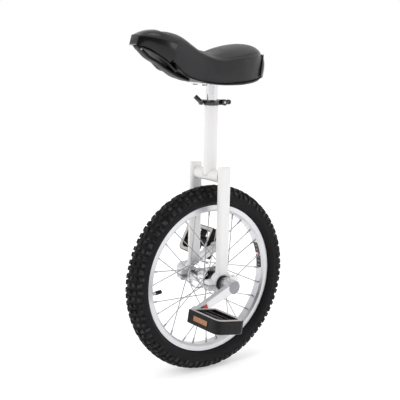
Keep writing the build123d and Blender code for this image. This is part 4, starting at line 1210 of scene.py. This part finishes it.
# ================= floor, light and camera
FLOOR_GLOW = 0.40
FLOOR_HALF = 14.0
LENS_SIDE = (0.609, 0.793)
LENS_PLACE = (1.1172, 1.4546, 0.7201)


def pale_floor():
    finish = Finish("pale_floor")
    cloud, colour = finish.clouded(rgb(0.86, 0.86, 0.86), rgb(0.89, 0.89, 0.89), 0.8, 2)
    return finish.surface(colour, 0.8, None, emission_color=rgb(1.0, 1.0, 1.0), emission_strength=FLOOR_GLOW,
                          specular_ior_level=0.1)


def floor():
    corners = [(x * FLOOR_HALF, y * FLOOR_HALF, 0) for x, y in ((-1, -1), (1, -1), (1, 1), (-1, 1))]
    shaped("studio_floor", (corners, [(0, 1, 2, 3)]), pale_floor())


def lamp(name, place, target, size, power, tint):
    light = bpy.data.lights.new(name, "AREA")
    light.shape = "RECTANGLE"
    light.size, light.size_y = size
    light.energy = power
    light.color = tint
    made = bpy.data.objects.new(name, light)
    bpy.context.scene.collection.objects.link(made)
    made.location = place
    made.rotation_mode = "QUATERNION"
    made.rotation_quaternion = (Vector(target) - Vector(place)).to_track_quat("-Z", "Y")


def soft_room():
    """A white backdrop; as light, bright walls left and right of a dim front, and a dimmer ceiling."""
    room = Finish("soft_room", bpy.data.worlds)
    heading = room.node("ShaderNodeTexCoord", output="Generated")
    ahead, aside, up = [room.node("ShaderNodeSeparateXYZ", None, {0: heading}, axis) for axis in range(3)]
    facing = ahead * LENS_SIDE[0] + aside * LENS_SIDE[1]
    front = facing.over(0.40, 0.86) * (1 - up.over(0.35, 0.8))
    light = 1.0 - 0.92 * front - 0.35 * up.over(0.2, 0.9)
    seen = room.node("ShaderNodeLightPath", output="Is Camera Ray")
    strength = seen + (1 - seen) * light
    made = room.node("ShaderNodeBackground", None, {"Color": rgb(1.0, 1.0, 1.0), "Strength": strength})
    room.node("ShaderNodeOutputWorld", None, {"Surface": made})
    return room.material


def studio():
    bpy.context.scene.view_settings.view_transform = "Standard"
    bpy.context.scene.world = soft_room()
    lamp("key_light", (2.6, 0.6, 2.0), (0, 0, 0.35), (1.2, 1.6), 26, (1.0, 0.99, 0.97))
    lamp("fill_light", (-1.6, 2.6, 1.4), (0, 0, 0.35), (1.4, 1.6), 16, (0.97, 0.98, 1.0))
    lamp("top_light", (0.0, 0.2, 3.2), (0, 0, 0.4), (2.0, 2.0), 16, (1.0, 1.0, 1.0))


def camera():
    azimuth, elevation, roll = radians(143.07), radians(10.80), radians(1.32)
    back = Vector((sin(azimuth) * cos(elevation), -cos(azimuth) * cos(elevation), sin(elevation)))
    right = Vector((cos(azimuth), sin(azimuth), 0))
    upward = back.cross(right)
    side = cos(roll) * right + sin(roll) * upward
    over = cos(roll) * upward - sin(roll) * right
    lens = bpy.data.cameras.new("studio_camera")
    lens.lens = 79.2
    lens.sensor_width = 36.0
    lens.clip_start, lens.clip_end = 0.05, 60.0
    made = bpy.data.objects.new("studio_camera", lens)
    bpy.context.scene.collection.objects.link(made)
    turned = Matrix((side, over, back)).transposed().to_4x4()
    turned.translation = Vector(LENS_PLACE)
    made.matrix_world = turned
    bpy.context.scene.camera = made


floor()
studio()
camera()
